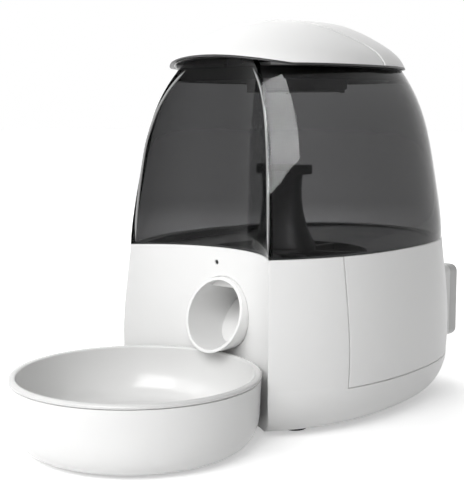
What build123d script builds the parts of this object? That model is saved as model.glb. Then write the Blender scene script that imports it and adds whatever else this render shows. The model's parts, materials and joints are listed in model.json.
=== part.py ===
from build123d import *
import math
import os

# A pet feeder: a round bowl nests in the hollow front of an egg-plan base, which carries a smoked
# hopper and a hinged lid. X is the feeder's width, -Y its front, +Z up, and it stands on Z = 0.

# Bowl
BOWL_RADIUS = 82.0
BOWL_BASE_RADIUS = 60.0
BOWL_SEAM_HEIGHT = 45.6
BOWL_SEAM_GAP = 0.5
BOWL_RIM_HEIGHT = 3.0
BOWL_RIM_WIDTH = 4.6
BOWL_WALL = 2.4
BOWL_TURN = 24.0
BOWL_TAPER = 1.0
BOWL_FLOOR_UNDERSIDE = 3.6
BOWL_FLOOR = 2.4
INSERT_DEPTH = 36.0
INSERT_FLOOR_RADIUS = 58.0
INSERT_WALL = 2.0
INSERT_TURN = 16.0
PAD_RADIUS = 3.5
PAD_HEIGHT = 0.8

# Tower: the base and the hopper share one egg plan, a superellipse that narrows as it rises
TOWER_CENTRE = 161.5
TOWER_POWER = 2.25
FOOT_HEIGHT = 3.0
EDGE_ROUND_WIDTH = 26.0
EDGE_ROUND_HEIGHT = 33.0
HOUSING_TOP = 121.8
BASE_STATIONS = [
    (36.0, 102.0, 136.4),
    (64.0, 102.3, 137.2),
    (93.0, 100.1, 134.8),
    (HOUSING_TOP, 97.0, 131.5),
]
HOPPER_STATIONS = [
    (HOUSING_TOP, 97.0, 131.5),
    (155.0, 93.8, 126.8),
    (188.0, 89.0, 119.9),
    (215.0, 83.0, 111.8),
    (238.0, 73.9, 99.4),
    (257.0, 62.0, 83.6),
]
FRONT_GAP = 3.8
HOUSING_WALL = 3.0
SEAM_REACH = 104.0
SEAM_HEIGHT = 33.5
SEAM_GAP = 0.35
LEDGE_WIDTH = 4.5
RIB_REACHES = (96.0, 150.0, 215.0)
LEDGE_HEIGHT = 3.8
FIT_GAP = 0.3

# Pod for the controls, on the back
POD_REACH = 145.5
POD_HALF_WIDTH = 60.0
POD_LOW = 34.5
POD_HIGH = 93.0
POD_DEPTH = 15.5
POD_CORNER = 6.0
POD_WALL = 2.0
POD_FLANGE = 0.6
BUTTON_PROUD = 0.8
BUTTON_RADIUS = 4.6
BUTTON_CAP = 3.2
BUTTON_TRAVEL = 1.0
BUTTON_PITCH = 21.0
BUTTON_LOW = 52.0
BUTTON_GAP = 0.15
WINDOW_HALF_WIDTH = 25.0
WINDOW_LOW = 64.0
WINDOW_HIGH = 86.0

# Spout and chute
SPOUT_RADIUS = 25.7
SPOUT_WALL = 2.2
SPOUT_HEIGHT = 75.7
SPOUT_TOP_REACH = 82.6
SPOUT_LIP_REACH = 66.0
THROAT_RADIUS = 20.3
RAMP_START = 93.0
RAMP_RISE = 0.80
MIC_ACROSS = -7.0
MIC_HEIGHT = 111.0
MIC_RADIUS = 1.5

# Portion wheel, its cup and the stirrer
ROTOR_REACH = 155.0
CUP_RADIUS = 60.0
CUP_WALL = 2.5
CUP_FLOOR_TOP = 98.0
CUP_FLOOR = 2.5
CUP_MOUTH = 114.0
FUNNEL_RISE = 0.095
FUNNEL_WALL = 2.5
OUTLET_RADIUS = 18.0
OUTLET_OFFSET = 41.0
POCKETS = 6
WHEEL_GAP = 1.4
WHEEL_LIFT = 0.6
WHEEL_HEIGHT = 15.0
VANE = 2.6
HUB_RADIUS = 9.0
SHAFT_RADIUS = 4.0
RUN_GAP = 0.05
STIRRER_BASE_RADIUS = 22.0
STIRRER_NECK_RADIUS = 11.5
STIRRER_TOP = 178.0
STIRRER_ARM = 22.0
STIRRER_ARM_HEIGHT = 7.0
STIRRER_ARM_WIDTH = 11.0

# Gear train and motor
GEAR_MODULE = 1.0
GEAR_TEETH = 32
PINION_TEETH = 10
GEAR_FACE = 6.0
GEAR_LOW = 80.0
CASE_WALL = 2.0
CASE_LOW = 76.0
CASE_HIGH = 91.5
COVER_HEIGHT = 2.5
MOTOR_RADIUS = 12.0
MOTOR_LENGTH = 30.0

# Batteries, three C cells, and other parts in the base
CELL_RADIUS = 13.1
CELL_LENGTH = 50.0
CELL_PITCH = 27.4
CELL_HEIGHT = 20.0
BATTERY_REACH = 217.0
BOX_WALL = 2.0
PLATE = 2.0
PLATE_INSET = 4.0
PLATE_LEDGE = 4.0
FOOT_RADIUS = 8.5
FOOT_PLACES = [(54.0, 98.0), (65.0, 151.0), (50.0, 243.0)]
DOCK_HALF_WIDTH = 15.0
DOCK_START = 34.0
DOCK_END = 118.0
SPEAKER_RADIUS = 19.0
SPEAKER_REACH = 140.0
BOARD_REACH = 270.0
BOARD = 1.6
STUB_REACH = 282.0
INLET_RADIUS = 6.3
INLET_BORE = 2.85
INLET_DEPTH = 9.5
INLET_HEIGHT = 25.0
INLET_FACE_REACH = 293.5
SCREW_HEAD_RADIUS = 3.0
SCREW_SHANK_RADIUS = 1.4

# Hopper rim and lid
TANK_TOP = 246.6
TANK_BROW = 256.0
BROW_REACH = 108.0
TANK_WALL = 3.0
COLLAR_LOW = 238.0
COLLAR_WALL = 2.7
COLLAR_FLANGE = 0.6
LID_CENTRE = 157.5
LID_STATIONS = [
    (247.5, 73.0, 96.0),
    (256.0, 68.7, 90.0),
    (266.0, 57.0, 74.6),
    (274.5, 42.4, 55.4),
    (280.0, 25.5, 33.5),
    (282.0, 8.0, 10.5),
]
LID_WALL = 2.4
CROWN_PROUD = 0.5
CROWN_DEPTH = 1.2
CROWN_GAP = 0.35
CREASE = [
    (0.0, 133.5), (24.0, 136.0), (35.0, 141.5), (45.5, 150.0), (54.5, 159.5),
    (60.5, 166.0), (68.0, 172.3), (76.0, 177.0), (90.0, 182.0),
]
VISOR_RISE = 6.0
VISOR_HALF_SPAN = 56.0
LINER = 2.0
LATCH_REACH = 118.0
LATCH_RADIUS = 12.2
LATCH_TRAVEL = 2.2
KEEPER_HALF_WIDTH = 7.0
KEEPER_DEPTH = 2.0
KEEPER_HEIGHT = 1.6
LATCH_LOW = 268.0
HOOK_HALF_WIDTH = 6.0
PLUG_GAP = 2.6
PLUG_WALL = 2.0
PLUG_DEPTH = 9.0
INNER_PLATE = 2.0
HINGE_REACH = 257.5
HINGE_HEIGHT = 250.5
KNUCKLE_RADIUS = 3.6
KNUCKLE_HALF = 12.0
EAR_WIDTH = 8.0
PIN_RADIUS = 1.5
DRY_HALF_WIDTH = 30.0
DRY_HALF_DEPTH = 20.0
DRY_DEPTH = 15.0
DRY_WALL = 1.6
DRY_REACH = 168.0
PIVOT_RADIUS = 0.5
PIVOT_HALF = 24.0
PIVOT_EAR = 3.0

# Places that follow from the sizes: the overall length is centred on Y = 0
BOWL_Y = (BOWL_RADIUS - TOWER_CENTRE - POD_REACH) / 2
TOWER_Y = BOWL_Y + TOWER_CENTRE
ROTOR_Y = BOWL_Y + ROTOR_REACH
LID_Y = BOWL_Y + LID_CENTRE
SEAM_Y = BOWL_Y + SEAM_REACH
POD_Y = TOWER_Y + POD_REACH
SEAT_Y = POD_Y - POD_DEPTH
FRONT_RADIUS = BOWL_RADIUS + FRONT_GAP
FLAT_HALF_WIDTH = BASE_STATIONS[0][1] - EDGE_ROUND_WIDTH
FLAT_HALF_DEPTH = BASE_STATIONS[0][2] - EDGE_ROUND_WIDTH
LEDGE_TOP = HOUSING_TOP - 3.0
HUGE = 400.0

made = {}


def keep(name, solid):
    """Remember a finished piece under its node name."""
    made[name] = solid
    return solid


def block(x, y, z):
    """A box from three (low, high) pairs."""
    size = (x[1] - x[0], y[1] - y[0], z[1] - z[0])
    return Pos((x[0] + x[1]) / 2, (y[0] + y[1]) / 2, (z[0] + z[1]) / 2) * Box(*size)


def post(radius, low, high, x=0.0, y=0.0):
    """An upright cylinder."""
    foot = (Align.CENTER, Align.CENTER, Align.MIN)
    return Pos(x, y, low) * Cylinder(radius, high - low, align=foot)


def rod_y(radius, start, end, x=0.0, z=0.0):
    """A cylinder that lies along Y."""
    foot = (Align.CENTER, Align.CENTER, Align.MIN)
    return Pos(x, start, z) * Rot(-90, 0, 0) * Cylinder(radius, end - start, align=foot)


def rod_x(radius, start, end, y=0.0, z=0.0):
    """A cylinder that lies along X."""
    foot = (Align.CENTER, Align.CENTER, Align.MIN)
    return Pos(start, y, z) * Rot(0, 90, 0) * Cylinder(radius, end - start, align=foot)


def side_at(half_width, half_depth, y):
    """Half width of a superellipse at a distance y from its centre."""
    share = min(abs(y) / half_depth, 1.0)
    return half_width * (1 - share ** TOWER_POWER) ** (1 / TOWER_POWER)


def cusp(half_width, half_depth, radius):
    """Where the right side of the plan meets the hollow front, as (x, y)."""
    low = 0.0
    high = math.pi / 2
    for _ in range(40):
        turn = (low + high) / 2
        x = radius * math.sin(turn)
        y = BOWL_Y + radius * math.cos(turn)
        if x > side_at(half_width, half_depth, y - TOWER_Y):
            high = turn
        else:
            low = turn
    return x, y


def outline(half_width, half_depth, z, inset=0.0, count=11):
    """The tower's plan at one height: an egg side from cusp to cusp and the hollow front's arc."""
    half_width -= inset
    half_depth -= inset
    radius = FRONT_RADIUS + inset
    x, y = cusp(half_width, half_depth, radius)
    start = math.atan2((y - TOWER_Y) / half_depth, x / half_width)
    points = [(x, y, z)]
    for i in range(1, count - 1):
        turn = start + (math.pi - 2 * start) * i / (count - 1)
        c = math.cos(turn)
        t = math.sin(turn)
        reach = (abs(c) ** TOWER_POWER + abs(t) ** TOWER_POWER) ** (-1 / TOWER_POWER)
        points.append((half_width * reach * c, TOWER_Y + half_depth * reach * t, z))
    points.append((-x, y, z))
    side = Spline(*points)
    front = ThreePointArc((-x, y, z), (0, BOWL_Y + radius, z), (x, y, z))
    return Wire([side, front])


def egg(half_width, half_depth, z, count=16):
    """The lid's closed egg outline at one height."""
    points = []
    for i in range(count):
        turn = 2 * math.pi * (i + 0.5) / count
        c = math.cos(turn)
        t = math.sin(turn)
        reach = (abs(c) ** TOWER_POWER + abs(t) ** TOWER_POWER) ** (-1 / TOWER_POWER)
        points.append((half_width * reach * c, LID_Y + half_depth * reach * t, z))
    return Wire([Spline(*points, periodic=True)])


def size_at(stations, z):
    """Half width and half depth of a form at a height between two stations."""
    for low, high in zip(stations, stations[1:]):
        if z <= high[0]:
            break
    share = (z - low[0]) / (high[0] - low[0])
    return [a + share * (b - a) for a, b in zip(low[1:], high[1:])]


def base_forms(inset):
    """The base's rounded foot and its side above, drawn in by an inset, as two lofts."""
    foot = []
    for degrees in (0, 30, 60, 90):
        turn = math.radians(degrees)
        grow = (EDGE_ROUND_WIDTH - inset) * math.sin(turn)
        z = FOOT_HEIGHT + inset + (EDGE_ROUND_HEIGHT - inset) * (1 - math.cos(turn))
        wide = FLAT_HALF_WIDTH + grow + inset
        deep = FLAT_HALF_DEPTH + grow + inset
        foot.append(outline(wide, deep, z, inset))
    side = [outline(w, d, z, inset) for z, w, d in BASE_STATIONS]
    return [Solid.make_loft(foot), Solid.make_loft(side)]


def hopper_form(inset):
    """The hopper's form, drawn in by an inset, as a list of one loft."""
    return [Solid.make_loft([outline(w, d, z, inset) for z, w, d in HOPPER_STATIONS])]


def dome(inset, skirt=None):
    """The lid's dome, drawn in by an inset, cut off or carried straight down to a skirt's height."""
    wires = [egg(w - inset, d - inset, z - inset) for z, w, d in LID_STATIONS]
    forms = [Solid.make_loft(wires)]
    first = LID_STATIONS[0]
    if skirt is None:
        return forms
    if skirt < first[0] - inset:
        low = egg(first[1] - inset, first[2] - inset, skirt)
        return [Solid.make_loft([low, wires[0]])] + forms
    half_width, half_depth = size_at(LID_STATIONS, skirt + inset)
    wires[0] = egg(half_width - inset, half_depth - inset, skirt)
    return [Solid.make_loft(wires)]


def is_level(face):
    """Whether a face is flat and level."""
    return face.geom_type == GeomType.PLANE and face.bounding_box().size.Z < 0.001


def sides(forms):
    """The faces of stacked lofts that aren't their level ends."""
    return [face for form in forms for face in form.faces() if not is_level(face)]


def end_face(forms, top):
    """The level face at the top or the bottom of stacked lofts."""
    form = forms[-1] if top else forms[0]
    level = [face for face in form.faces() if is_level(face)]
    return ShapeList(level).sort_by(Axis.Z)[-1 if top else 0]


def wall(outer, inner, floor=False, roof=False):
    """The wall between two stacks of lofts, open at its ends unless it has a floor or a roof."""
    faces = sides(outer) + sides(inner)
    for closed, top in ((floor, False), (roof, True)):
        ends = [end_face(outer, top), end_face(inner, top)]
        if closed:
            faces += ends
        else:
            faces.append(Face(ends[0].outer_wire(), [ends[1].outer_wire()]))
    return Solid(Shell(faces))


def prism(stations, inset, low, high):
    """A straight-sided slab of the plan, as small as the form is at the slab's top."""
    half_width, half_depth = size_at(stations, high)
    return extrude(Face(outline(half_width, half_depth, low, inset)), high - low, dir=(0, 0, 1))


def band(stations, outer, inner, low, high):
    """A ring that follows the form's taper between two heights."""
    forms = []
    for inset in (outer, inner):
        wires = [outline(*size_at(stations, z), z, inset) for z in (low, high)]
        forms.append([Solid.make_loft(wires, ruled=True)])
    return wall(*forms)


def wall_x(y, z, inset):
    """Half width of the base, drawn in by an inset, at a place along its length."""
    half_width, half_depth = size_at(BASE_STATIONS, z)
    return side_at(half_width - inset, half_depth - inset, y - TOWER_Y)


OUTER = base_forms(0)
INNER = base_forms(HOUSING_WALL)
INNER_SOLID = INNER[0] + INNER[1]


def flat_plan(inset, low, high):
    """A slab of the flat underside's outline, clear of the hollow front."""
    wire = outline(FLAT_HALF_WIDTH, FLAT_HALF_DEPTH, low, inset)
    return extrude(Face(wire), high - low, dir=(0, 0, 1))


def screw_places():
    """The six screws of the bottom plate, as far inside its ledge as their posts need."""
    inset = PLATE_INSET + PLATE_LEDGE - 0.5
    half_width = FLAT_HALF_WIDTH - inset
    half_depth = FLAT_HALF_DEPTH - inset
    places = []
    for degrees in (-38.0, 12.0, 62.0):
        turn = math.radians(degrees)
        x = half_width * math.cos(turn) ** (2 / TOWER_POWER)
        s = math.sin(turn)
        y = TOWER_Y + half_depth * math.copysign(abs(s) ** (2 / TOWER_POWER), s)
        places.append((x, y))
        places.append((-x, y))
    return places


def housing_parts():
    """The main housing and the rear cover that closes its back, both slices of one shell."""
    whole = wall(OUTER, INNER, floor=True)
    low = LEDGE_TOP - LEDGE_HEIGHT
    for reach in RIB_REACHES:
        y = BOWL_Y + reach
        x = wall_x(y, LEDGE_TOP, HOUSING_WALL)
        for side in (-1, 1):
            ends = sorted((side * (x + 1.2), side * (x - LEDGE_WIDTH)))
            whole += block(ends, (y - 4, y + 4), (low, LEDGE_TOP))
    back = block((-HUGE, HUGE), (SEAM_Y, HUGE), (SEAM_HEIGHT, HUGE))
    main = whole - back
    main -= flat_plan(PLATE_INSET, 0, FOOT_HEIGHT + PLATE)
    main -= flat_plan(PLATE_INSET + PLATE_LEDGE, 0, FOOT_HEIGHT + HOUSING_WALL + 1)
    for x, y in screw_places():
        main += post(4.2, FOOT_HEIGHT + PLATE, 16, x, y)
        main -= post(SCREW_SHANK_RADIUS + 0.1, 0, 13, x, y)
    main -= rod_y(SPOUT_RADIUS + 0.2, BOWL_Y + 60, BOWL_Y + 100, 0, SPOUT_HEIGHT)
    main -= rod_y(MIC_RADIUS + 0.1, BOWL_Y + 60, BOWL_Y + 100, MIC_ACROSS, MIC_HEIGHT)
    main -= rod_y(INLET_RADIUS + 0.2, BOWL_Y + 270, HUGE, 0, INLET_HEIGHT)
    keep("main_housing", main)

    gap = block((-HUGE, HUGE), (SEAM_Y + SEAM_GAP, HUGE), (SEAM_HEIGHT + SEAM_GAP, HUGE))
    cover = whole & gap
    wide = POD_HALF_WIDTH + POD_FLANGE
    boss = pod_block(wide, POD_LOW - POD_FLANGE, POD_HIGH + POD_FLANGE, TOWER_Y + 60, SEAT_Y)
    boss -= INNER_SOLID
    cover += boss
    flat = pod_block(wide, POD_LOW - POD_FLANGE, POD_HIGH + POD_FLANGE, SEAT_Y, SEAT_Y + 40)
    cover -= flat
    pocket = POD_HALF_WIDTH - 8
    cover -= block((-pocket, pocket), (TOWER_Y + 60, HUGE), (POD_LOW + 6, POD_HIGH - 6))
    for x in (-44.0, 44.0):
        stub = rod_y(3.5, BOWL_Y + BOARD_REACH + BOARD, BOWL_Y + STUB_REACH, x, 102.0)
        cover += stub
    keep("rear_cover", cover)


def pod_block(half_width, low, high, start, end):
    """A block with rounded corners, seen from the back."""
    outline = Pos(0, start, (low + high) / 2) * Rot(-90, 0, 0)
    face = RectangleRounded(2 * half_width, high - low, POD_CORNER)
    return extrude(outline * face, end - start)


def base_parts():
    """What closes the base from below and stands in it."""
    low = FOOT_HEIGHT
    top = low + PLATE
    battery_y = BOWL_Y + BATTERY_REACH
    half_box = 1.5 * CELL_PITCH + 1.4
    half_bay = CELL_LENGTH / 2 + 3.0
    plate = flat_plan(PLATE_INSET + FIT_GAP, low, top)
    hatch_x = half_box - BOX_WALL
    hatch_y = half_bay - BOX_WALL
    hatch = block((-hatch_x, hatch_x), (battery_y - hatch_y, battery_y + hatch_y), (low, top))
    tab_y = battery_y - half_bay - 8.5
    plate -= hatch + block((-7, 7), (tab_y, battery_y), (low, top))
    for x, y in screw_places():
        plate -= post(SCREW_SHANK_RADIUS + 0.2, 0, top + 1, x, y)
        plate -= post(SCREW_HEAD_RADIUS + 0.2, 0, low + 1.2, x, y)
    speaker_y = BOWL_Y + SPEAKER_REACH
    for i in range(-2, 3):
        half = 12.0 - 2.0 * abs(i)
        slot = block((-half, half), (speaker_y + 5 * i - 1, speaker_y + 5 * i + 1), (low, top))
        plate -= slot
    keep("bottom_plate", plate)

    inset = FIT_GAP
    cover = block(
        (-hatch_x + inset, hatch_x - inset),
        (battery_y - hatch_y + inset, battery_y + hatch_y - inset),
        (low, top),
    )
    for i in range(4):
        y = battery_y + hatch_y - 6 - 3 * i
        cover -= block((-14, 14), (y - 0.6, y + 0.6), (low, low + 0.7))
    cover += block((inset - 7, 7 - inset), (tab_y + inset, battery_y - hatch_y + 1), (low, top))
    screw_y = tab_y + 4.5
    cover -= post(SCREW_HEAD_RADIUS + 0.2, 0, low + 1.2, 0, screw_y)
    cover -= post(SCREW_SHANK_RADIUS + 0.2, 0, top + 1, 0, screw_y)
    keep("battery_cover", cover)

    box_top = CELL_HEIGHT + CELL_RADIUS + 1.0 + BOX_WALL
    box = block((-half_box, half_box), (battery_y - half_bay, battery_y + half_bay), (top, box_top))
    box -= block(
        (-hatch_x, hatch_x), (battery_y - hatch_y, battery_y + hatch_y), (top, box_top - BOX_WALL)
    )
    box += block((-6, 6), (tab_y, battery_y - half_bay), (top, top + 10))
    box -= post(SCREW_SHANK_RADIUS + 0.1, 0, 12, 0, screw_y)
    keep("battery_box", box)

    cells = []
    contacts = []
    for i in (-1, 0, 1):
        x = i * CELL_PITCH
        direction = 1 if i == 0 else -1
        start = battery_y - CELL_LENGTH / 2 + 1.0
        can = rod_y(CELL_RADIUS, start, start + CELL_LENGTH - 2.5, x, CELL_HEIGHT)
        button_y = start + CELL_LENGTH - 2.5 if direction > 0 else start - 1.5
        nub = rod_y(3.0, button_y, button_y + 1.5, x, CELL_HEIGHT)
        cells.append(can + nub)
        for y in (battery_y - hatch_y, battery_y + hatch_y - 0.5):
            contacts.append(block((x - 6, x + 6), (y, y + 0.5), (CELL_HEIGHT - 7, CELL_HEIGHT + 9)))
    keep("battery_cells", Compound(children=cells))
    keep("battery_contacts", Compound(children=contacts))

    feet = []
    for x, reach in FOOT_PLACES:
        for side in (-1, 1):
            foot = post(FOOT_RADIUS, 0, low, side * x, BOWL_Y + reach)
            foot = chamfer(foot.edges().group_by(Axis.Z)[0], 0.6)
            feet.append(foot)
    keep("rubber_feet", Compound(children=feet))

    dock = block(
        (-DOCK_HALF_WIDTH, DOCK_HALF_WIDTH),
        (BOWL_Y + DOCK_START, BOWL_Y + DOCK_END),
        (low - 2.0, low),
    )
    dock = fillet(dock.edges().filter_by(Axis.Z), 6.0)
    for y in (BOWL_Y + 102, BOWL_Y + 112):
        dock -= post(SCREW_SHANK_RADIUS + 0.1, 0, low, 0, y)
    keep("bowl_dock", dock)

    screws = []
    heads = screw_places() + [(0, screw_y)]
    for x, y in heads:
        head = post(SCREW_HEAD_RADIUS, low + 0.1, low + 1.2, x, y)
        shank = post(SCREW_SHANK_RADIUS, low + 1.2, 11.5, x, y)
        screws.append(head + shank)
    keep("base_screws", Compound(children=screws))

    frame = post(SPEAKER_RADIUS, top, top + 9, 0, speaker_y)
    frame -= post(SPEAKER_RADIUS - 2, top, top + 2, 0, speaker_y)
    frame -= Pos(0, speaker_y, top + 2) * Cone(
        SPEAKER_RADIUS - 3, 6, 4, align=(Align.CENTER, Align.CENTER, Align.MIN)
    )
    keep("speaker", frame)

    face_y = BOWL_Y + INLET_FACE_REACH
    inlet = rod_y(INLET_RADIUS, face_y - 14, face_y, 0, INLET_HEIGHT)
    inlet -= rod_y(INLET_BORE, face_y - INLET_DEPTH, face_y, 0, INLET_HEIGHT)
    inlet += rod_y(1.0, face_y - INLET_DEPTH - 1, face_y - 1, 0, INLET_HEIGHT)
    keep("power_inlet", inlet)

    mic_y = BOWL_Y + FRONT_RADIUS + HOUSING_WALL
    mic = rod_y(MIC_RADIUS, mic_y - 2.6, mic_y + 0.2, MIC_ACROSS, MIC_HEIGHT)
    mic += rod_y(3.0, mic_y + 0.2, mic_y + 2.2, MIC_ACROSS, MIC_HEIGHT)
    keep("microphone", mic)

    board_y = BOWL_Y + BOARD_REACH
    board = block((-50, 50), (board_y, board_y + BOARD), (46, 108))
    keep("circuit_board", board)
    chips = [
        block((-12, 12), (board_y - 2.4, board_y), (70, 90)),
        block((18, 30), (board_y - 2, board_y), (60, 72)),
        block((-34, -22), (board_y - 7, board_y), (56, 66)),
        rod_y(4.0, board_y - 9, board_y, -38, 92),
        rod_y(4.0, board_y - 9, board_y, -27, 92),
        block((26, 42), (board_y - 6, board_y), (84, 96)),
    ]
    keep("board_components", Compound(children=chips))


def pod_parts():
    """The control pod: its shell, display, keypad and four buttons."""
    back = POD_Y - BUTTON_PROUD
    shell = pod_block(POD_HALF_WIDTH, POD_LOW, POD_HIGH, SEAT_Y, back)
    shell = fillet(shell.faces().sort_by(Axis.Y)[-1].edges(), 4.0)
    half = POD_HALF_WIDTH - POD_WALL
    shell -= block((-half, half), (SEAT_Y, back - POD_WALL), (POD_LOW + POD_WALL, POD_HIGH - POD_WALL))
    shell -= block(
        (-WINDOW_HALF_WIDTH, WINDOW_HALF_WIDTH), (SEAT_Y, POD_Y), (WINDOW_LOW, WINDOW_HIGH)
    )
    names = ["button_back", "button_set", "button_next", "button_feed"]
    places = [(i - 1.5) * BUTTON_PITCH for i in range(len(names))]
    for x in places:
        shell -= rod_y(BUTTON_RADIUS + BUTTON_GAP, SEAT_Y, POD_Y, x, BUTTON_LOW)
    keep("control_pod", shell)

    pane = block(
        (-WINDOW_HALF_WIDTH + 0.1, WINDOW_HALF_WIDTH - 0.1),
        (back - 1.6, back - 0.1),
        (WINDOW_LOW + 0.1, WINDOW_HIGH - 0.1),
    )
    keep("display_window", pane)
    module = block(
        (-WINDOW_HALF_WIDTH + 2, WINDOW_HALF_WIDTH - 2),
        (back - 5.2, back - 1.6),
        (WINDOW_LOW + 1.5, WINDOW_HIGH - 1.5),
    )
    keep("display_module", module)

    for name, x in zip(names, places):
        cap = rod_y(BUTTON_RADIUS, POD_Y - BUTTON_CAP, POD_Y, x, BUTTON_LOW)
        cap = fillet(cap.edges().group_by(Axis.Y)[-1], 0.5)
        keep(name, cap)
    mat_y = POD_Y - BUTTON_CAP - BUTTON_TRAVEL - 0.4
    mat = block((-half + 2, half - 2), (mat_y - 1.6, mat_y), (POD_LOW + POD_WALL + 0.3, BUTTON_LOW + 8))
    keep("keypad_mat", mat)


def chute_part():
    """The spout's round lip, its horizontal bore, the ramp behind it and the throat above."""
    throat_y = ROTOR_Y - OUTLET_OFFSET
    top = CUP_FLOOR_TOP - CUP_FLOOR
    step = BOWL_Y + RAMP_START - 1.5

    def form(shrink):
        radius = SPOUT_RADIUS - shrink
        start = BOWL_Y + 40
        tube = rod_y(radius, start, step - shrink, 0, SPOUT_HEIGHT)
        room = rod_y(radius, start, throat_y + THROAT_RADIUS - shrink, 0, SPOUT_HEIGHT)
        room &= block((-HUGE, HUGE), (-HUGE, HUGE), (0, top - shrink))
        throat = post(THROAT_RADIUS - shrink, SPOUT_HEIGHT, top, 0, throat_y)
        body = tube + room + throat
        slope = math.degrees(math.atan(RAMP_RISE))
        foot = Pos(0, BOWL_Y + RAMP_START, SPOUT_HEIGHT - SPOUT_RADIUS + shrink)
        under = foot * Rot(slope, 0, 0) * (Pos(0, 100, -100) * Box(200, 200, 200))
        return body - under

    chute = form(0) - form(SPOUT_WALL)
    rise = 2 * SPOUT_RADIUS
    run = SPOUT_TOP_REACH - SPOUT_LIP_REACH
    lean = math.degrees(math.atan2(run, rise))
    lip = Pos(0, BOWL_Y + SPOUT_LIP_REACH, SPOUT_HEIGHT - SPOUT_RADIUS)
    chute -= lip * Rot(-lean, 0, 0) * (Pos(0, -100, 0) * Box(200, 200, 400))
    keep("chute", chute)


def ring_section(points):
    """A solid of revolution about the portion wheel's axis."""
    face = make_face(Polyline([(r, 0, z) for r, z in points], close=True))
    return Pos(0, ROTOR_Y, 0) * revolve(face, Axis.Z)


def hopper_floor_part():
    """The dark floor under the hopper: a shallow funnel round the portion wheel's cup."""
    inside = HOUSING_WALL + FIT_GAP
    low = HOUSING_WALL + LEDGE_WIDTH + FIT_GAP
    tray = prism(BASE_STATIONS, inside, LEDGE_TOP, HOUSING_TOP)
    tray += prism(BASE_STATIONS, low, CUP_MOUTH - FUNNEL_WALL, LEDGE_TOP)
    reach = 170.0
    rise = FUNNEL_RISE * (reach - CUP_RADIUS)
    above = ring_section(
        [(0, CUP_MOUTH), (CUP_RADIUS, CUP_MOUTH), (reach, CUP_MOUTH + rise), (reach, 150), (0, 150)]
    )
    tray -= above & prism(BASE_STATIONS, low + FUNNEL_WALL, CUP_MOUTH - 8, HOUSING_TOP)
    under = CUP_MOUTH - FUNNEL_WALL
    below = ring_section(
        [(0, 90), (reach, 90), (reach, under + rise), (CUP_RADIUS + CUP_WALL, under), (0, under)]
    )
    tray -= below
    cup_low = CUP_FLOOR_TOP - CUP_FLOOR
    tray += post(CUP_RADIUS + CUP_WALL, cup_low, CUP_MOUTH, 0, ROTOR_Y)
    tray -= post(CUP_RADIUS, CUP_FLOOR_TOP, 150, 0, ROTOR_Y)
    tray -= post(OUTLET_RADIUS, 90, CUP_FLOOR_TOP, 0, ROTOR_Y - OUTLET_OFFSET)
    tray -= post(SHAFT_RADIUS + 2.5, 90, CUP_FLOOR_TOP, 0, ROTOR_Y)
    keep("hopper_floor", tray)

    bush = post(SHAFT_RADIUS + 2.5, cup_low - 1, CUP_FLOOR_TOP, 0, ROTOR_Y)
    bush -= post(SHAFT_RADIUS + RUN_GAP, 0, 150, 0, ROTOR_Y)
    keep("shaft_bush", bush)

    wiper = post(CUP_RADIUS + 8, CUP_MOUTH + 0.6, CUP_MOUTH + 2.4, 0, ROTOR_Y)
    wiper -= post(STIRRER_BASE_RADIUS + 2.5, 0, 150, 0, ROTOR_Y)
    wiper &= block((-25, 25), (BOWL_Y, ROTOR_Y - 12), (100, 130))
    wiper -= post(FRONT_RADIUS + low + FUNNEL_WALL + RUN_GAP, 0, 150, 0, BOWL_Y)
    keep("outlet_wiper", wiper)


def wheel_parts():
    """The portion wheel, its shaft and the stirrer that turns with it."""
    low = CUP_FLOOR_TOP + WHEEL_LIFT
    high = low + WHEEL_HEIGHT
    radius = CUP_RADIUS - WHEEL_GAP
    wheel = post(HUB_RADIUS, low, high, 0, ROTOR_Y)
    for i in range(POCKETS):
        turn = 360.0 * (i + 0.5) / POCKETS
        vane = block((0, radius), (-VANE / 2, VANE / 2), (low, high))
        wheel += Pos(0, ROTOR_Y, 0) * Rot(0, 0, turn) * vane
    wheel -= post(SHAFT_RADIUS + RUN_GAP, 0, high - 3, 0, ROTOR_Y)
    keep("portion_wheel", wheel)

    shaft = post(SHAFT_RADIUS, GEAR_LOW - 1.8, high - 3.1, 0, ROTOR_Y)
    keep("drive_shaft", shaft)

    arm_low = STIRRER_TOP - STIRRER_ARM_HEIGHT
    waist = (high + STIRRER_TOP) / 2 + 12
    side = Spline(
        (STIRRER_BASE_RADIUS, 0, high + 4),
        (STIRRER_NECK_RADIUS + 2.5, 0, (high + waist) / 2 + 2),
        (STIRRER_NECK_RADIUS, 0, waist + 4),
        (STIRRER_NECK_RADIUS + 1.2, 0, arm_low + 2),
    )
    face = make_face(
        [
            Line((0, 0, high), (STIRRER_BASE_RADIUS, 0, high)),
            Line((STIRRER_BASE_RADIUS, 0, high), (STIRRER_BASE_RADIUS, 0, high + 4)),
            side,
            Line((STIRRER_NECK_RADIUS + 1.2, 0, arm_low + 2), (0, 0, arm_low + 2)),
            Line((0, 0, arm_low + 2), (0, 0, high)),
        ]
    )
    stirrer = revolve(face, Axis.Z)
    bar = block(
        (-STIRRER_ARM, STIRRER_ARM),
        (-STIRRER_ARM_WIDTH / 2, STIRRER_ARM_WIDTH / 2),
        (arm_low, STIRRER_TOP),
    )
    bar = fillet(bar.edges().filter_by(Axis.Z), 4.5)
    stirrer = Pos(0, ROTOR_Y, 0) * (stirrer + bar)
    keep("stirrer", stirrer)


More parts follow.
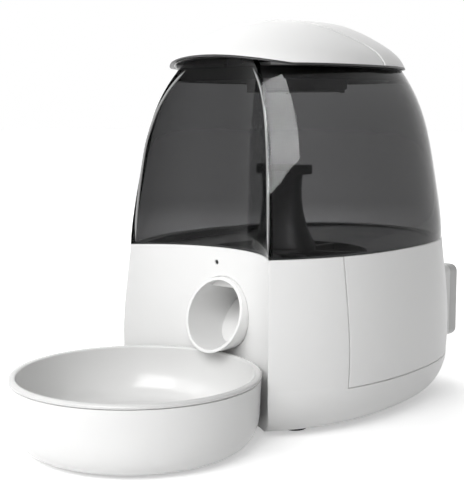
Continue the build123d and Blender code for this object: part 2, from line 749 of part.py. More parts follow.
def gear(teeth, low, face_width, x, y, bore, phase):
    """A spur gear whose flanks are drawn in a little at the tips, with backlash."""
    pitch_radius = GEAR_MODULE * teeth / 2
    tip = pitch_radius + 0.9 * GEAR_MODULE
    root = pitch_radius - 1.2 * GEAR_MODULE
    step = 2 * math.pi / teeth
    half_root = 0.30 * step
    half_pitch = 0.22 * step
    half_tip = 0.11 * step
    outline = []
    for i in range(teeth):
        middle = i * step + phase
        for radius, angle in (
            (root, -half_root), (pitch_radius, -half_pitch), (tip, -half_tip),
            (tip, half_tip), (pitch_radius, half_pitch), (root, half_root),
        ):
            outline.append((radius * math.cos(middle + angle), radius * math.sin(middle + angle)))
    disc = extrude(make_face(Polyline(outline, close=True)), face_width)
    solid = Pos(x, y, low) * disc
    if bore > 0:
        solid -= post(bore, low - 1, low + face_width + 1, x, y)
    return solid


def drive_parts():
    """The motor, its pinion, the gear on the wheel's shaft and the gearbox round them."""
    distance = GEAR_MODULE * (GEAR_TEETH + PINION_TEETH) / 2
    pinion_y = ROTOR_Y + distance
    keep("drive_gear", gear(GEAR_TEETH, GEAR_LOW, GEAR_FACE, 0, ROTOR_Y, SHAFT_RADIUS + 0.02, math.pi / 2))
    half_tooth = math.pi / PINION_TEETH
    pinion = gear(PINION_TEETH, GEAR_LOW, GEAR_FACE, 0, pinion_y, 0, -math.pi / 2 + half_tooth)
    pinion += post(1.0, CASE_LOW - 8, GEAR_LOW + 1, 0, pinion_y)
    keep("motor_pinion", pinion)

    gear_room = GEAR_MODULE * (GEAR_TEETH / 2 + 1) + 1.0
    pinion_room = GEAR_MODULE * (PINION_TEETH / 2 + 1) + 1.0

    def pair(extra, low, high):
        room = post(gear_room + extra, low, high, 0, ROTOR_Y)
        room += post(pinion_room + extra, low, high, 0, pinion_y)
        half = pinion_room + extra
        return room + block((-half, half), (ROTOR_Y, pinion_y), (low, high))

    split = CASE_HIGH - COVER_HEIGHT
    case = pair(CASE_WALL, CASE_LOW, split) - pair(0, CASE_LOW + CASE_WALL, split + 1)
    case -= post(1.0 + RUN_GAP, CASE_LOW - 1, split, 0, pinion_y)
    keep("gearbox_case", case)
    cover = pair(CASE_WALL, split, CASE_HIGH)
    cover -= post(SHAFT_RADIUS + RUN_GAP, split - 1, CASE_HIGH + 1, 0, ROTOR_Y)
    for x, y in ((-12, ROTOR_Y + 9), (12, ROTOR_Y + 9), (0, pinion_y + 5)):
        cover += post(2.6, CASE_HIGH, CUP_FLOOR_TOP - CUP_FLOOR, x, y)
    keep("gearbox_cover", cover)

    motor = post(MOTOR_RADIUS, CASE_LOW - MOTOR_LENGTH, CASE_LOW, 0, pinion_y)
    motor = fillet(motor.edges().group_by(Axis.Z)[0], 2.0)
    motor -= post(1.0 + RUN_GAP, CASE_LOW - 9, CASE_LOW + 1, 0, pinion_y)
    keep("motor", motor)


def hopper_parts():
    """The smoked hopper with its arched front window, and the dark collar in its rim."""
    tank = wall(hopper_form(0), hopper_form(TANK_WALL))
    tank &= block((-HUGE, HUGE), (-HUGE, HUGE), (0, TANK_BROW))
    rim = block((-HUGE, HUGE), (-HUGE, HUGE), (TANK_TOP, HUGE))
    tank -= rim - post(FRONT_RADIUS + TANK_WALL, 0, HUGE, 0, BOWL_Y)
    keep("hopper_tank", tank)

    outside = TANK_WALL + FIT_GAP
    inside = outside + COLLAR_WALL
    flange_top = TANK_TOP + COLLAR_FLANGE
    collar = band(HOPPER_STATIONS, outside, inside, COLLAR_LOW, TANK_TOP)
    flange = prism(HOPPER_STATIONS, COLLAR_FLANGE, TANK_TOP, flange_top)
    flange -= post(FRONT_RADIUS + outside, 0, HUGE, 0, BOWL_Y)
    flange -= prism(HOPPER_STATIONS, inside, TANK_TOP, flange_top)
    collar += flange
    hinge_y = BOWL_Y + HINGE_REACH
    for side in (-1, 1):
        inner = side * (KNUCKLE_HALF + 0.4)
        outer = side * (KNUCKLE_HALF + 0.4 + EAR_WIDTH)
        x = (min(inner, outer), max(inner, outer))
        ear = rod_x(KNUCKLE_RADIUS, x[0], x[1], hinge_y, HINGE_HEIGHT)
        arm = block(x, (hinge_y - 8, hinge_y), (TANK_TOP, HINGE_HEIGHT - 2.0))
        collar += ear + arm
    collar -= rod_x(PIN_RADIUS + RUN_GAP, -40, 40, hinge_y, HINGE_HEIGHT)
    keep("hopper_collar", collar)
    face_y = BOWL_Y + FRONT_RADIUS + inside
    keeper = block(
        (-KEEPER_HALF_WIDTH, KEEPER_HALF_WIDTH),
        (face_y - 1, face_y + KEEPER_DEPTH),
        (TANK_TOP - KEEPER_HEIGHT, TANK_TOP),
    )
    keeper -= post(FRONT_RADIUS + inside, 0, HUGE, 0, BOWL_Y)
    keep("latch_keeper", keeper)
    half = KNUCKLE_HALF + EAR_WIDTH
    keep("hinge_pin", rod_x(PIN_RADIUS, -half, half, hinge_y, HINGE_HEIGHT))


def arch(drop):
    """The long cylinder that gives the visor's lower edge its arch."""
    radius = (VISOR_HALF_SPAN ** 2 + VISOR_RISE ** 2) / (2 * VISOR_RISE)
    crest = LID_STATIONS[0][0] + VISOR_RISE
    return rod_y(radius, BOWL_Y + 20, BOWL_Y + BROW_REACH, 0, crest - radius - drop)


def crown_region():
    """Everything behind the lid's crease, which curves forward over the top, as a tall slab."""
    points = [(x, BOWL_Y + reach) for x, reach in CREASE]
    mirrored = [(-x, y) for x, y in reversed(points[1:])]
    x, y = points[-1]
    back = Polyline([(x, y), (x, HUGE), (-x, HUGE), (-x, y)])
    return extrude(make_face([Spline(*mirrored, *points), back]), HUGE, dir=(0, 0, 1))


def lid_parts():
    """The lid: domed shell with a visor, rear crown, liner, inner plate, plug and latch."""
    bottom = LID_STATIONS[0][0]
    outer = dome(0)
    middle = dome(CROWN_DEPTH, bottom)
    inner = dome(LID_WALL, bottom)
    rear = crown_region()
    shell = wall(outer, inner, roof=True) - rear
    shell += wall(middle, inner, roof=True) & rear
    shell -= arch(0)
    latch_y = BOWL_Y + LATCH_REACH
    shell -= post(LATCH_RADIUS + 0.3, 262, 300, 0, latch_y)
    hinge_y = BOWL_Y + HINGE_REACH
    crown = wall(dome(-CROWN_PROUD, bottom), middle, roof=True)
    crown &= Pos(0, CROWN_GAP, 0) * rear
    lug = block((-KNUCKLE_HALF, KNUCKLE_HALF), (hinge_y - 12, hinge_y), (bottom, HINGE_HEIGHT + 2.6))
    knuckle = lug + rod_x(KNUCKLE_RADIUS, -KNUCKLE_HALF, KNUCKLE_HALF, hinge_y, HINGE_HEIGHT)
    crown += knuckle - middle[0]
    crown -= rod_x(PIN_RADIUS + RUN_GAP, -40, 40, hinge_y, HINGE_HEIGHT)
    for side in (-1, 1):
        start = side * KNUCKLE_HALF
        end = side * (KNUCKLE_HALF + EAR_WIDTH + 0.8)
        x = (min(start, end), max(start, end))
        notch = rod_x(KNUCKLE_RADIUS + 0.6, x[0], x[1], hinge_y, HINGE_HEIGHT)
        notch += block(x, (hinge_y - 10, hinge_y + 10), (0, HINGE_HEIGHT - 1.4))
        crown -= notch
        shell -= notch
    keep("lid_shell", shell)
    keep("lid_crown", crown)

    liner = dome(LID_WALL + 0.2, bottom)[0] & post(FRONT_RADIUS - 0.8, 200, 270, 0, BOWL_Y)
    liner = (liner & arch(-LINER)) - arch(0.6)
    keep("visor_liner", liner)

    half_width, half_depth = size_at(LID_STATIONS, bottom + INNER_PLATE + LID_WALL)
    edge = LID_WALL + FIT_GAP
    plate = Face(egg(half_width - edge, half_depth - edge, bottom))
    plate = extrude(plate, INNER_PLATE, dir=(0, 0, 1))
    plate -= post(FRONT_RADIUS + 8.5, 200, 300, 0, BOWL_Y)
    plug_out = TANK_WALL + FIT_GAP + COLLAR_WALL + PLUG_GAP
    plug = prism(HOPPER_STATIONS, plug_out, bottom - PLUG_DEPTH, bottom)
    plate += plug - prism(HOPPER_STATIONS, plug_out + PLUG_WALL, bottom - PLUG_DEPTH, bottom)
    dry_y = BOWL_Y + DRY_REACH
    x = (-DRY_HALF_WIDTH, DRY_HALF_WIDTH)
    y = (dry_y - DRY_HALF_DEPTH, dry_y + DRY_HALF_DEPTH)
    hook_y = BOWL_Y + FRONT_RADIUS + TANK_WALL + FIT_GAP + COLLAR_WALL
    slot = HOOK_HALF_WIDTH + FIT_GAP
    plate -= block((-slot, slot), (hook_y - 2, hook_y + 9), (200, 260))
    for side in (-1, 1):
        start = side * KNUCKLE_HALF
        end = side * (KNUCKLE_HALF + EAR_WIDTH + 0.8)
        plate -= block(
            (min(start, end), max(start, end)), (hinge_y - 10, hinge_y + 10), (0, HINGE_HEIGHT)
        )
    keep("lid_inner_plate", plate)

    seal = prism(HOPPER_STATIONS, plug_out - PLUG_GAP + 0.35, bottom - 5, bottom)
    seal -= prism(HOPPER_STATIONS, plug_out, bottom - 5, bottom)
    seal &= block((-HUGE, HUGE), (-HUGE, HUGE), (bottom - 5, bottom - 3))
    seal -= block((-9, 9), (hook_y - 20, hook_y + 9), (200, 260))
    keep("lid_seal", seal)

    dry_low = bottom - DRY_DEPTH
    box = block(x, y, (dry_low, bottom))
    box -= block(
        (x[0] + DRY_WALL, x[1] - DRY_WALL), (y[0] + DRY_WALL, y[1] - DRY_WALL), (dry_low, bottom - DRY_WALL)
    )
    cover_low = dry_low - FIT_GAP - DRY_WALL
    pivot_z = cover_low + DRY_WALL / 2
    ear = PIVOT_HALF + PIVOT_EAR
    for side in (-1, 1):
        ends = sorted((side * (PIVOT_HALF + FIT_GAP), side * ear))
        box += rod_x(DRY_WALL, ends[0], ends[1], y[1], pivot_z)
        box += block(ends, (y[1] - DRY_WALL, y[1]), (pivot_z, dry_low + 1))
    box -= rod_x(PIVOT_RADIUS + RUN_GAP, -ear - 1, ear + 1, y[1], pivot_z)
    keep("desiccant_box", box)
    cover = block(x, (y[0], y[1] - 3 * DRY_WALL), (cover_low, dry_low - FIT_GAP))
    cover += block((-PIVOT_HALF, PIVOT_HALF), (y[0] + 1, y[1]), (cover_low, dry_low - FIT_GAP))
    cover += rod_x(DRY_WALL / 2, -PIVOT_HALF, PIVOT_HALF, y[1], pivot_z)
    cover += rod_x(PIVOT_RADIUS, -ear, ear, y[1], pivot_z)
    for i in range(-4, 5):
        cover -= block((4.8 * i - 1.2, 4.8 * i + 1.2), (y[0] + 7, y[1] - 7), (200, 260))
    keep("desiccant_cover", cover)

    button = outer[-1] & post(LATCH_RADIUS, LATCH_LOW, 300, 0, latch_y)
    keep("lid_button", button)

    toe_y = hook_y + 0.4 + LATCH_TRAVEL
    width = (-HOOK_HALF_WIDTH, HOOK_HALF_WIDTH)
    hook = block(width, (toe_y + 2.2, toe_y + 4.6), (TANK_TOP - 5.5, 262))
    hook += block(width, (toe_y, toe_y + 2.2), (TANK_TOP - 5.5, TANK_TOP - 2.0))
    keep("latch_hook", hook)


def bowl_parts():
    """The outer bowl on its foot ring and the removable inner bowl that hangs in it."""
    seam = BOWL_SEAM_HEIGHT
    foot = PAD_HEIGHT
    top_radius = BOWL_RADIUS - 0.3
    low_radius = top_radius - BOWL_TAPER
    turn_top = foot + BOWL_TURN
    curve = Bezier(
        (BOWL_BASE_RADIUS, foot),
        (low_radius - 5, foot + 0.8),
        (low_radius - 0.5, foot + 9),
        (low_radius, turn_top),
    )
    ring = 8.0
    inner_low = low_radius - BOWL_WALL
    cavity = Bezier(
        (inner_low, turn_top),
        (inner_low - 0.6, foot + 12),
        (inner_low - 6, BOWL_FLOOR_UNDERSIDE + BOWL_FLOOR),
        (BOWL_BASE_RADIUS - 2, BOWL_FLOOR_UNDERSIDE + BOWL_FLOOR),
    )
    edges = [
        curve,
        Line((low_radius, turn_top), (top_radius, seam)),
        Line((top_radius, seam), (top_radius - BOWL_WALL, seam)),
        Line((top_radius - BOWL_WALL, seam), (inner_low, turn_top)),
        cavity,
        Line((BOWL_BASE_RADIUS - 2, BOWL_FLOOR_UNDERSIDE + BOWL_FLOOR), (0, BOWL_FLOOR_UNDERSIDE + BOWL_FLOOR)),
        Line((0, BOWL_FLOOR_UNDERSIDE + BOWL_FLOOR), (0, BOWL_FLOOR_UNDERSIDE)),
        Line((0, BOWL_FLOOR_UNDERSIDE), (BOWL_BASE_RADIUS - ring, BOWL_FLOOR_UNDERSIDE)),
        Line((BOWL_BASE_RADIUS - ring, BOWL_FLOOR_UNDERSIDE), (BOWL_BASE_RADIUS - ring, foot)),
        Line((BOWL_BASE_RADIUS - ring, foot), (BOWL_BASE_RADIUS, foot)),
    ]
    bowl = revolve(Plane.XZ * make_face(edges), Axis.Z)
    bowl = Pos(0, BOWL_Y, 0) * bowl
    notch = DOCK_HALF_WIDTH + 0.6
    bowl -= block((-notch, notch), (BOWL_Y + 20, BOWL_Y + BOWL_RADIUS), (0, FOOT_HEIGHT + 0.4))
    keep("outer_bowl", bowl)

    pads = []
    for degrees in (40, 140, 220, 320):
        turn = math.radians(degrees)
        radius = BOWL_BASE_RADIUS - ring / 2
        pads.append(post(PAD_RADIUS, 0, foot, radius * math.cos(turn), BOWL_Y + radius * math.sin(turn)))
    keep("bowl_pads", Compound(children=pads))

    low = seam + BOWL_SEAM_GAP
    high = low + BOWL_RIM_HEIGHT
    inner = BOWL_RADIUS - BOWL_RIM_WIDTH
    floor = high - INSERT_DEPTH
    wall_out = BOWL_RADIUS - 0.3 - BOWL_WALL - 0.8
    rim = BOWL_RIM_HEIGHT / 2
    inside = Bezier(
        (inner, high - rim),
        (inner - 1.5, floor + INSERT_TURN),
        (inner - 6, floor),
        (INSERT_FLOOR_RADIUS, floor),
    )
    under = Bezier(
        (INSERT_FLOOR_RADIUS, floor - INSERT_WALL),
        (inner - 5, floor - INSERT_WALL),
        (wall_out - 1.0, floor + INSERT_TURN - 2),
        (wall_out, low),
    )
    crest = Bezier((BOWL_RADIUS, low + 1.0), (BOWL_RADIUS, high), (inner + 0.4, high + 0.3), (inner, high - rim))
    edges = [
        Line((0, floor - INSERT_WALL), (INSERT_FLOOR_RADIUS, floor - INSERT_WALL)),
        under,
        Line((wall_out, low), (BOWL_RADIUS, low)),
        Line((BOWL_RADIUS, low), (BOWL_RADIUS, low + 1.0)),
        crest,
        inside,
        Line((INSERT_FLOOR_RADIUS, floor), (0, floor)),
        Line((0, floor), (0, floor - INSERT_WALL)),
    ]
    insert = revolve(Plane.XZ * make_face(edges), Axis.Z)
    keep("inner_bowl", Pos(0, BOWL_Y, 0) * insert)


bowl_parts()
housing_parts()
base_parts()
pod_parts()
chute_part()
hopper_floor_part()
wheel_parts()
drive_parts()
hopper_parts()
lid_parts()

os.makedirs("parts", exist_ok=True)
for name, solid in made.items():
    export_step(solid, f"parts/{name}.step")
    box = solid.bounding_box()
    low = [round(v, 1) for v in box.min]
    high = [round(v, 1) for v in box.max]
    print(name, len(solid.solids()), solid.is_valid, round(solid.volume / 1000, 1), low, high)
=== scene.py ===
import json
import math

import bmesh
import bpy
from bpy.props import (
    FloatProperty, FloatVectorProperty, IntProperty, PointerProperty, StringProperty,
)
from mathutils import Matrix, Quaternion, Vector
from mathutils.bvhtree import BVHTree


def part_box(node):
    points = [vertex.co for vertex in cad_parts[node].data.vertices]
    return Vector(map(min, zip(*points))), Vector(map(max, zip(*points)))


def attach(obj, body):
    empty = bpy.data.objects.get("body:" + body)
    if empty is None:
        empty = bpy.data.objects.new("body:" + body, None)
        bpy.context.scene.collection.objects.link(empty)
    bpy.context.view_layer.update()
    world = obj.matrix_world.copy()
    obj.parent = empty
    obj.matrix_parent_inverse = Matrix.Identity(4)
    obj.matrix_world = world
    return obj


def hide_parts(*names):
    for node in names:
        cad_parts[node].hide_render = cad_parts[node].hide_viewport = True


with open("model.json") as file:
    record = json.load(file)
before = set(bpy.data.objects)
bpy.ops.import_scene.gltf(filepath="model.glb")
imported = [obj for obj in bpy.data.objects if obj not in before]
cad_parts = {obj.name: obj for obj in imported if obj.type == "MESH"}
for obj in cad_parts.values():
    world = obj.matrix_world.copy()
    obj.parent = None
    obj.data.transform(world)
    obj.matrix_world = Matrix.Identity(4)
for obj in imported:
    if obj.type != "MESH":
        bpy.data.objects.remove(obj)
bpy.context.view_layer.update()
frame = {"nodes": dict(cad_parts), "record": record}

bl_info = {
    "name": "Pet feeder dressing",
    "version": (1, 0, 0),
    "blender": (4, 5, 0),
    "location": "3D View > Sidebar > Feeder",
    "description": "Gives the packed pet feeder its finishes, small fittings and studio",
    "category": "Object",
}

NODES = frame["nodes"]
MM = 0.001


# Sizes and colours that a user would change


def tint(name, colour, description):
    """A colour property."""
    return FloatVectorProperty(
        name=name, description=description, default=colour, size=len(colour), subtype="COLOR",
        min=0.0, max=1.0,
    )


def length(name, value, description):
    """A length property in metres."""
    return FloatProperty(
        name=name, description=description, default=value, unit="LENGTH", precision=5
    )


def share(name, value, description, high=1.0):
    """A plain number property."""
    return FloatProperty(name=name, description=description, default=value, min=0.0, max=high)


class FeederStudio(bpy.types.PropertyGroup):
    """Camera, lamps and floor."""

    eye: FloatVectorProperty(
        name="Camera place", description="Where the camera stands", size=3, subtype="TRANSLATION",
        unit="LENGTH", default=(0.5053, -0.5861, 0.2175),
    )
    heading: FloatProperty(
        name="Heading", description="Camera's turn about the upright", unit="ROTATION",
        default=math.radians(41.68),
    )
    dip: FloatProperty(
        name="Dip", description="Camera's look down from level", unit="ROTATION",
        default=math.radians(7.14),
    )
    lens: FloatProperty(
        name="Lens", description="Focal length in millimetres", default=79.24, min=10.0
    )
    right_box: share("Right box", 17.2, "Watts of the softbox right of the front", 500.0)
    front_box: share("Front box", 6.9, "Watts of the softbox left of the front", 500.0)
    left_box: share("Left box", 3.1, "Watts of the softbox at the left", 500.0)
    back_box: share("Back box", 18.0, "Watts of the softbox behind", 500.0)
    strip: share("Strip", 40.0, "Watts of the strip that shows on the hopper's side", 500.0)
    ambient: share("Ambient", 0.14, "Strength of the surrounding light", 5.0)
    floor_tone: tint("Floor", (0.86, 0.86, 0.86), "Colour of the floor")
    near_lift: share("Near lift", 0.42, "White that the unlit floor shows beside the object")
    far_lift: share("Far lift", 0.86, "White that the unlit floor shows far from the lamps")
    floor_reach: length("Floor reach", 9.0, "Half the side of the floor")


class FeederFinish(bpy.types.PropertyGroup):
    """Colours and surface values of the finishes."""

    white: tint("White plastic", (0.80, 0.80, 0.795), "Satin white of the housing and the lid")
    bowl: tint("Bowl plastic", (0.79, 0.79, 0.785), "Gloss white of the bowl")
    # Partly painted shade: the insert is an off-white, and its tone is set darker still so that
    # the inside of the bowl looks shaded
    insert: tint("Insert plastic", (0.66, 0.66, 0.655), "Gloss off-white of the bowl's insert, set darker as painted shade")
    pod: tint("Pod plastic", (0.56, 0.56, 0.555), "Light grey of the control pod")
    smoke: tint("Smoked plastic", (0.92, 0.92, 0.93), "Tint of the hopper's walls")
    smoke_depth: share("Smoke depth", 375.0, "Absorption of the hopper's walls per metre", 5000.0)
    dark: tint("Dark plastic", (0.010, 0.010, 0.011), "Black of the stirrer, floor and collar")
    grey: tint("Grey plastic", (0.24, 0.24, 0.24), "Grey of the inner plate, boxes and dock")
    rubber: tint("Rubber", (0.030, 0.030, 0.031), "Feet, pads, wiper, key mat and seal")
    steel: tint("Steel", (0.56, 0.56, 0.55), "Screws, shaft, pin, motor and contacts")
    laminate: tint("Board", (0.012, 0.085, 0.040), "Circuit laminate")
    display: tint("Display", (0.22, 0.24, 0.24), "Dark window over the display")
    edge_radius: length("Edge radius", 0.0007, "Rounding that a moulded edge shows")
    grain: share("Grain size", 2600.0, "Moulded grain per metre", 20000.0)


class FeederFittings(bpy.types.PropertyGroup):
    """Small fittings that the solids leave plain."""

    cross_width: length("Cross width", 0.0008, "Width of a screw's cross recess")
    cross_reach: length("Cross reach", 0.0017, "How far a screw's cross recess reaches out")
    cross_depth: length("Cross depth", 0.0007, "Depth of a screw's cross recess")
    thread_pitch: length("Thread pitch", 0.0012, "Rise of a screw's thread in one turn")
    thread_depth: length("Thread depth", 0.0004, "Depth of a screw's thread")
    foot_grooves: IntProperty(
        name="Foot grooves", description="Rings cut in a foot", default=3, min=0
    )
    mark_height: length("Mark height", 0.00018, "How far a key's mark stands proud")
    digit_height: length("Digit height", 0.0095, "Height of the display's digits")
    clock: StringProperty(
        name="Clock", description="The four digits that the display shows", default="0830"
    )
    rim_radius: length("Rim radius", 0.0009, "Roundness of the hopper's front rims")
    edge_strip_height: length("Edge strip height", 0.0013, "Height of the strip round the lid")
    edge_strip_proud: length("Edge strip proud", 0.00025, "How far that strip stands proud")


# Node trees


def add_node(tree, kind, settings=None, inputs=None):
    """Adds a node. Settings are its properties, and inputs go to its sockets by name or number."""
    node = tree.nodes.new(kind)
    for key, value in (settings or {}).items():
        setattr(node, key, value)
    for key, value in (inputs or {}).items():
        socket = node.inputs[key]
        if isinstance(value, bpy.types.NodeSocket):
            tree.links.new(value, socket)
        else:
            socket.default_value = value
    return node


def sums(tree, operation, *values):
    """A Math node's result."""
    settings = {"operation": operation}
    return add_node(tree, "ShaderNodeMath", settings, dict(enumerate(values))).outputs[0]


def remap(tree, value, low, high, to_low, to_high):
    """A value moved from one range to another, held inside it."""
    inputs = {
        "Value": value, "From Min": low, "From Max": high, "To Min": to_low, "To Max": to_high,
    }
    return add_node(tree, "ShaderNodeMapRange", {"clamp": True}, inputs).outputs["Result"]


def noise(tree, place, scale, detail, rough, distortion=0.0):
    """A noise texture's value."""
    inputs = {
        "Vector": place, "Scale": scale, "Detail": detail, "Roughness": rough,
        "Distortion": distortion,
    }
    return add_node(tree, "ShaderNodeTexNoise", None, inputs).outputs[0]


def blend_colour(tree, factor, first, second, mode="MIX"):
    """Two colours mixed."""
    settings = {"data_type": "RGBA", "blend_type": mode}
    return add_node(tree, "ShaderNodeMix", settings, {0: factor, 6: first, 7: second}).outputs[2]


def new_group(name, inputs, outputs):
    """A shader node group with named sockets, and its two end nodes."""
    tree = bpy.data.node_groups.new(name, "ShaderNodeTree")
    for socket, kind, value in inputs:
        made = tree.interface.new_socket(name=socket, in_out="INPUT", socket_type=kind)
        made.default_value = value
    for socket, kind in outputs:
        tree.interface.new_socket(name=socket, in_out="OUTPUT", socket_type=kind)
    start = tree.nodes.new("NodeGroupInput")
    end = tree.nodes.new("NodeGroupOutput")
    return tree, start.outputs, end.inputs


NUMBER = "NodeSocketFloat"
COLOUR = "NodeSocketColor"


def moulded_group():
    """Moulded plastic: a fine spark-eroded grain, faint flow clouds and handling smudges."""
    inputs = [
        ("Tint", COLOUR, (0.8, 0.8, 0.8, 1.0)),
        ("Clouds", NUMBER, 0.03),
        ("Grain", NUMBER, 2600.0),
        ("Gloss low", NUMBER, 0.3),
        ("Gloss high", NUMBER, 0.4),
    ]
    outputs = [("Colour", COLOUR), ("Roughness", NUMBER), ("Height", NUMBER)]
    tree, given, result = new_group("Moulded plastic", inputs, outputs)
    place = add_node(tree, "ShaderNodeTexCoord").outputs["Object"]
    cloud = noise(tree, place, scale=11.0, detail=4.0, rough=0.55, distortion=0.4)
    fall = sums(tree, "SUBTRACT", cloud, 0.5)
    value = sums(tree, "MULTIPLY_ADD", fall, given["Clouds"], 1.0)
    grey = {channel: value for channel in range(3)}
    shade = add_node(tree, "ShaderNodeCombineColor", None, grey).outputs[0]
    colour = blend_colour(tree, 1.0, given["Tint"], shade, "MULTIPLY")
    smudge = noise(tree, place, scale=38.0, detail=6.0, rough=0.62, distortion=0.8)
    smear = remap(tree, smudge, 0.35, 0.7, 0.0, 1.0)
    span = sums(tree, "SUBTRACT", given["Gloss high"], given["Gloss low"])
    rough = sums(tree, "MULTIPLY_ADD", smear, span, given["Gloss low"])
    fine = noise(tree, place, given["Grain"], detail=2.0, rough=0.6)
    wide = sums(tree, "MULTIPLY", given["Grain"], 0.31)
    coarse = noise(tree, place, wide, detail=1.0, rough=0.5)
    height = sums(tree, "MULTIPLY_ADD", coarse, 0.6, fine)
    tree.links.new(colour, result["Colour"])
    tree.links.new(rough, result["Roughness"])
    tree.links.new(height, result["Height"])
    return tree


def wear_group():
    """A mask of rubbed edges, broken up by noise."""
    inputs = [("Amount", NUMBER, 0.5)]
    tree, given, result = new_group("Rubbed edges", inputs, [("Mask", NUMBER)])
    place = add_node(tree, "ShaderNodeTexCoord").outputs["Object"]
    sharp = add_node(tree, "ShaderNodeNewGeometry").outputs["Pointiness"]
    edge = remap(tree, sharp, 0.51, 0.60, 0.0, 1.0)
    breaks = noise(tree, place, scale=160.0, detail=5.0, rough=0.6)
    patches = remap(tree, breaks, 0.42, 0.62, 0.0, 1.0)
    mask = sums(tree, "MULTIPLY", edge, patches)
    tree.links.new(sums(tree, "MULTIPLY", mask, given["Amount"]), result["Mask"])
    return tree


def dust_group():
    """A mask of fine dust that settles on what faces up."""
    inputs = [("Amount", NUMBER, 0.3)]
    tree, given, result = new_group("Settled dust", inputs, [("Mask", NUMBER)])
    place = add_node(tree, "ShaderNodeTexCoord").outputs["Object"]
    facing = add_node(tree, "ShaderNodeNewGeometry").outputs["Normal"]
    up = add_node(tree, "ShaderNodeSeparateXYZ", None, {0: facing}).outputs[2]
    level = remap(tree, up, 0.55, 1.0, 0.0, 1.0)
    grit = noise(tree, place, scale=900.0, detail=3.0, rough=0.7)
    specks = remap(tree, grit, 0.52, 0.72, 0.0, 1.0)
    haze = noise(tree, place, scale=24.0, detail=4.0, rough=0.6)
    film = remap(tree, haze, 0.35, 0.75, 0.1, 0.6)
    both = sums(tree, "MAXIMUM", specks, film)
    mask = sums(tree, "MULTIPLY", sums(tree, "MULTIPLY", both, level), given["Amount"])
    tree.links.new(mask, result["Mask"])
    return tree


def turned_group():
    """Fine lines of drawn or turned metal, as a roughness and a height."""
    inputs = [("Across", NUMBER, 3000.0), ("Along", NUMBER, 60.0)]
    outputs = [("Roughness", NUMBER), ("Height", NUMBER)]
    tree, given, result = new_group("Turned metal", inputs, outputs)
    place = add_node(tree, "ShaderNodeTexCoord").outputs["Object"]
    parts = add_node(tree, "ShaderNodeSeparateXYZ", None, {0: place}).outputs
    scales = (given["Along"], given["Along"], given["Across"])
    wide = [sums(tree, "MULTIPLY", part, scale) for part, scale in zip(parts, scales)]
    stretched = add_node(tree, "ShaderNodeCombineXYZ", None, dict(enumerate(wide))).outputs[0]
    lines = noise(tree, stretched, scale=1.0, detail=3.0, rough=0.6)
    tree.links.new(remap(tree, lines, 0.3, 0.7, 0.22, 0.42), result["Roughness"])
    tree.links.new(lines, result["Height"])
    return tree


GROUPS = {}


def opaque(colour):
    """A colour's three parts, and full alpha."""
    return tuple(colour)[:3] + (1.0,)


def group_node(tree, name, **inputs):
    """One of the shared effects, placed in a material with its own values."""
    node = tree.nodes.new("ShaderNodeGroup")
    node.node_tree = GROUPS[name]
    for key, value in inputs.items():
        socket = node.inputs[key.replace("_", " ")]
        socket.default_value = opaque(value) if hasattr(value, "__len__") else value
    return node.outputs


def blank_material(name):
    """A material with only a Principled shader and its output, with its tree and shader."""
    material = bpy.data.materials.new(name)
    material.use_nodes = True
    tree = material.node_tree
    tree.nodes.clear()
    shader = tree.nodes.new("ShaderNodeBsdfPrincipled")
    output = tree.nodes.new("ShaderNodeOutputMaterial")
    tree.links.new(shader.outputs[0], output.inputs["Surface"])
    return material, tree, shader


def finish_bump(tree, shader, height, depth, radius=0.0):
    """Feeds a height to the shader's normal. A radius makes edges look rounded by as much."""
    inputs = {"Height": height, "Distance": depth, "Strength": 1.0}
    if radius > 0:
        soft = add_node(tree, "ShaderNodeBevel", {"samples": 6}, {"Radius": radius}).outputs[0]
        inputs["Normal"] = soft
    bump = add_node(tree, "ShaderNodeBump", None, inputs)
    tree.links.new(bump.outputs[0], shader.inputs["Normal"])


def plastic(name, colour, gloss, clouds=0.03, grain_depth=0.000012, coat=0.0, dust=0.0, wear=0.0,
            radius=None):
    """A moulded plastic finish, whose gloss runs between two roughnesses."""
    look = bpy.context.scene.feeder_finish
    material, tree, shader = blank_material(name)
    surface = group_node(
        tree, "moulded", Tint=colour, Clouds=clouds, Grain=look.grain, Gloss_low=gloss[0],
        Gloss_high=gloss[1],
    )
    shown = surface["Colour"]
    if wear > 0:
        rubbed = group_node(tree, "wear", Amount=wear)["Mask"]
        pale = opaque([min(1.0, part * 1.5 + 0.03) for part in colour])
        shown = blend_colour(tree, rubbed, shown, pale)
    if dust > 0:
        settled = group_node(tree, "dust", Amount=dust)["Mask"]
        shown = blend_colour(tree, settled, shown, (0.42, 0.40, 0.37, 1.0))
    tree.links.new(shown, shader.inputs["Base Color"])
    tree.links.new(surface["Roughness"], shader.inputs["Roughness"])
    shader.inputs["Coat Weight"].default_value = coat
    shader.inputs["Coat Roughness"].default_value = 0.08
    edge = look.edge_radius if radius is None else radius
    finish_bump(tree, shader, surface["Height"], grain_depth, edge)
    return material


def clear_plastic(name, colour, rough, wave=0.00002, bend=1.49, depth=0.0):
    """See-through plastic with the faint waves of a moulding, darker where its wall is thicker."""
    material, tree, shader = blank_material(name)
    if depth > 0:
        inside = tree.nodes.new("ShaderNodeVolumeAbsorption")
        inside.inputs["Color"].default_value = (0.0, 0.0, 0.0, 1.0)
        inside.inputs["Density"].default_value = depth
        output = shader.outputs[0].links[0].to_node
        tree.links.new(inside.outputs[0], output.inputs["Volume"])
    shader.inputs["Base Color"].default_value = opaque(colour)
    shader.inputs["Transmission Weight"].default_value = 1.0
    shader.inputs["IOR"].default_value = bend
    place = add_node(tree, "ShaderNodeTexCoord").outputs["Object"]
    smudge = noise(tree, place, scale=30.0, detail=5.0, rough=0.6, distortion=0.6)
    smear = remap(tree, smudge, 0.35, 0.75, rough, rough + 0.05)
    tree.links.new(smear, shader.inputs["Roughness"])
    waves = noise(tree, place, scale=26.0, detail=1.0, rough=0.4)
    finish_bump(tree, shader, waves, wave)
    return material


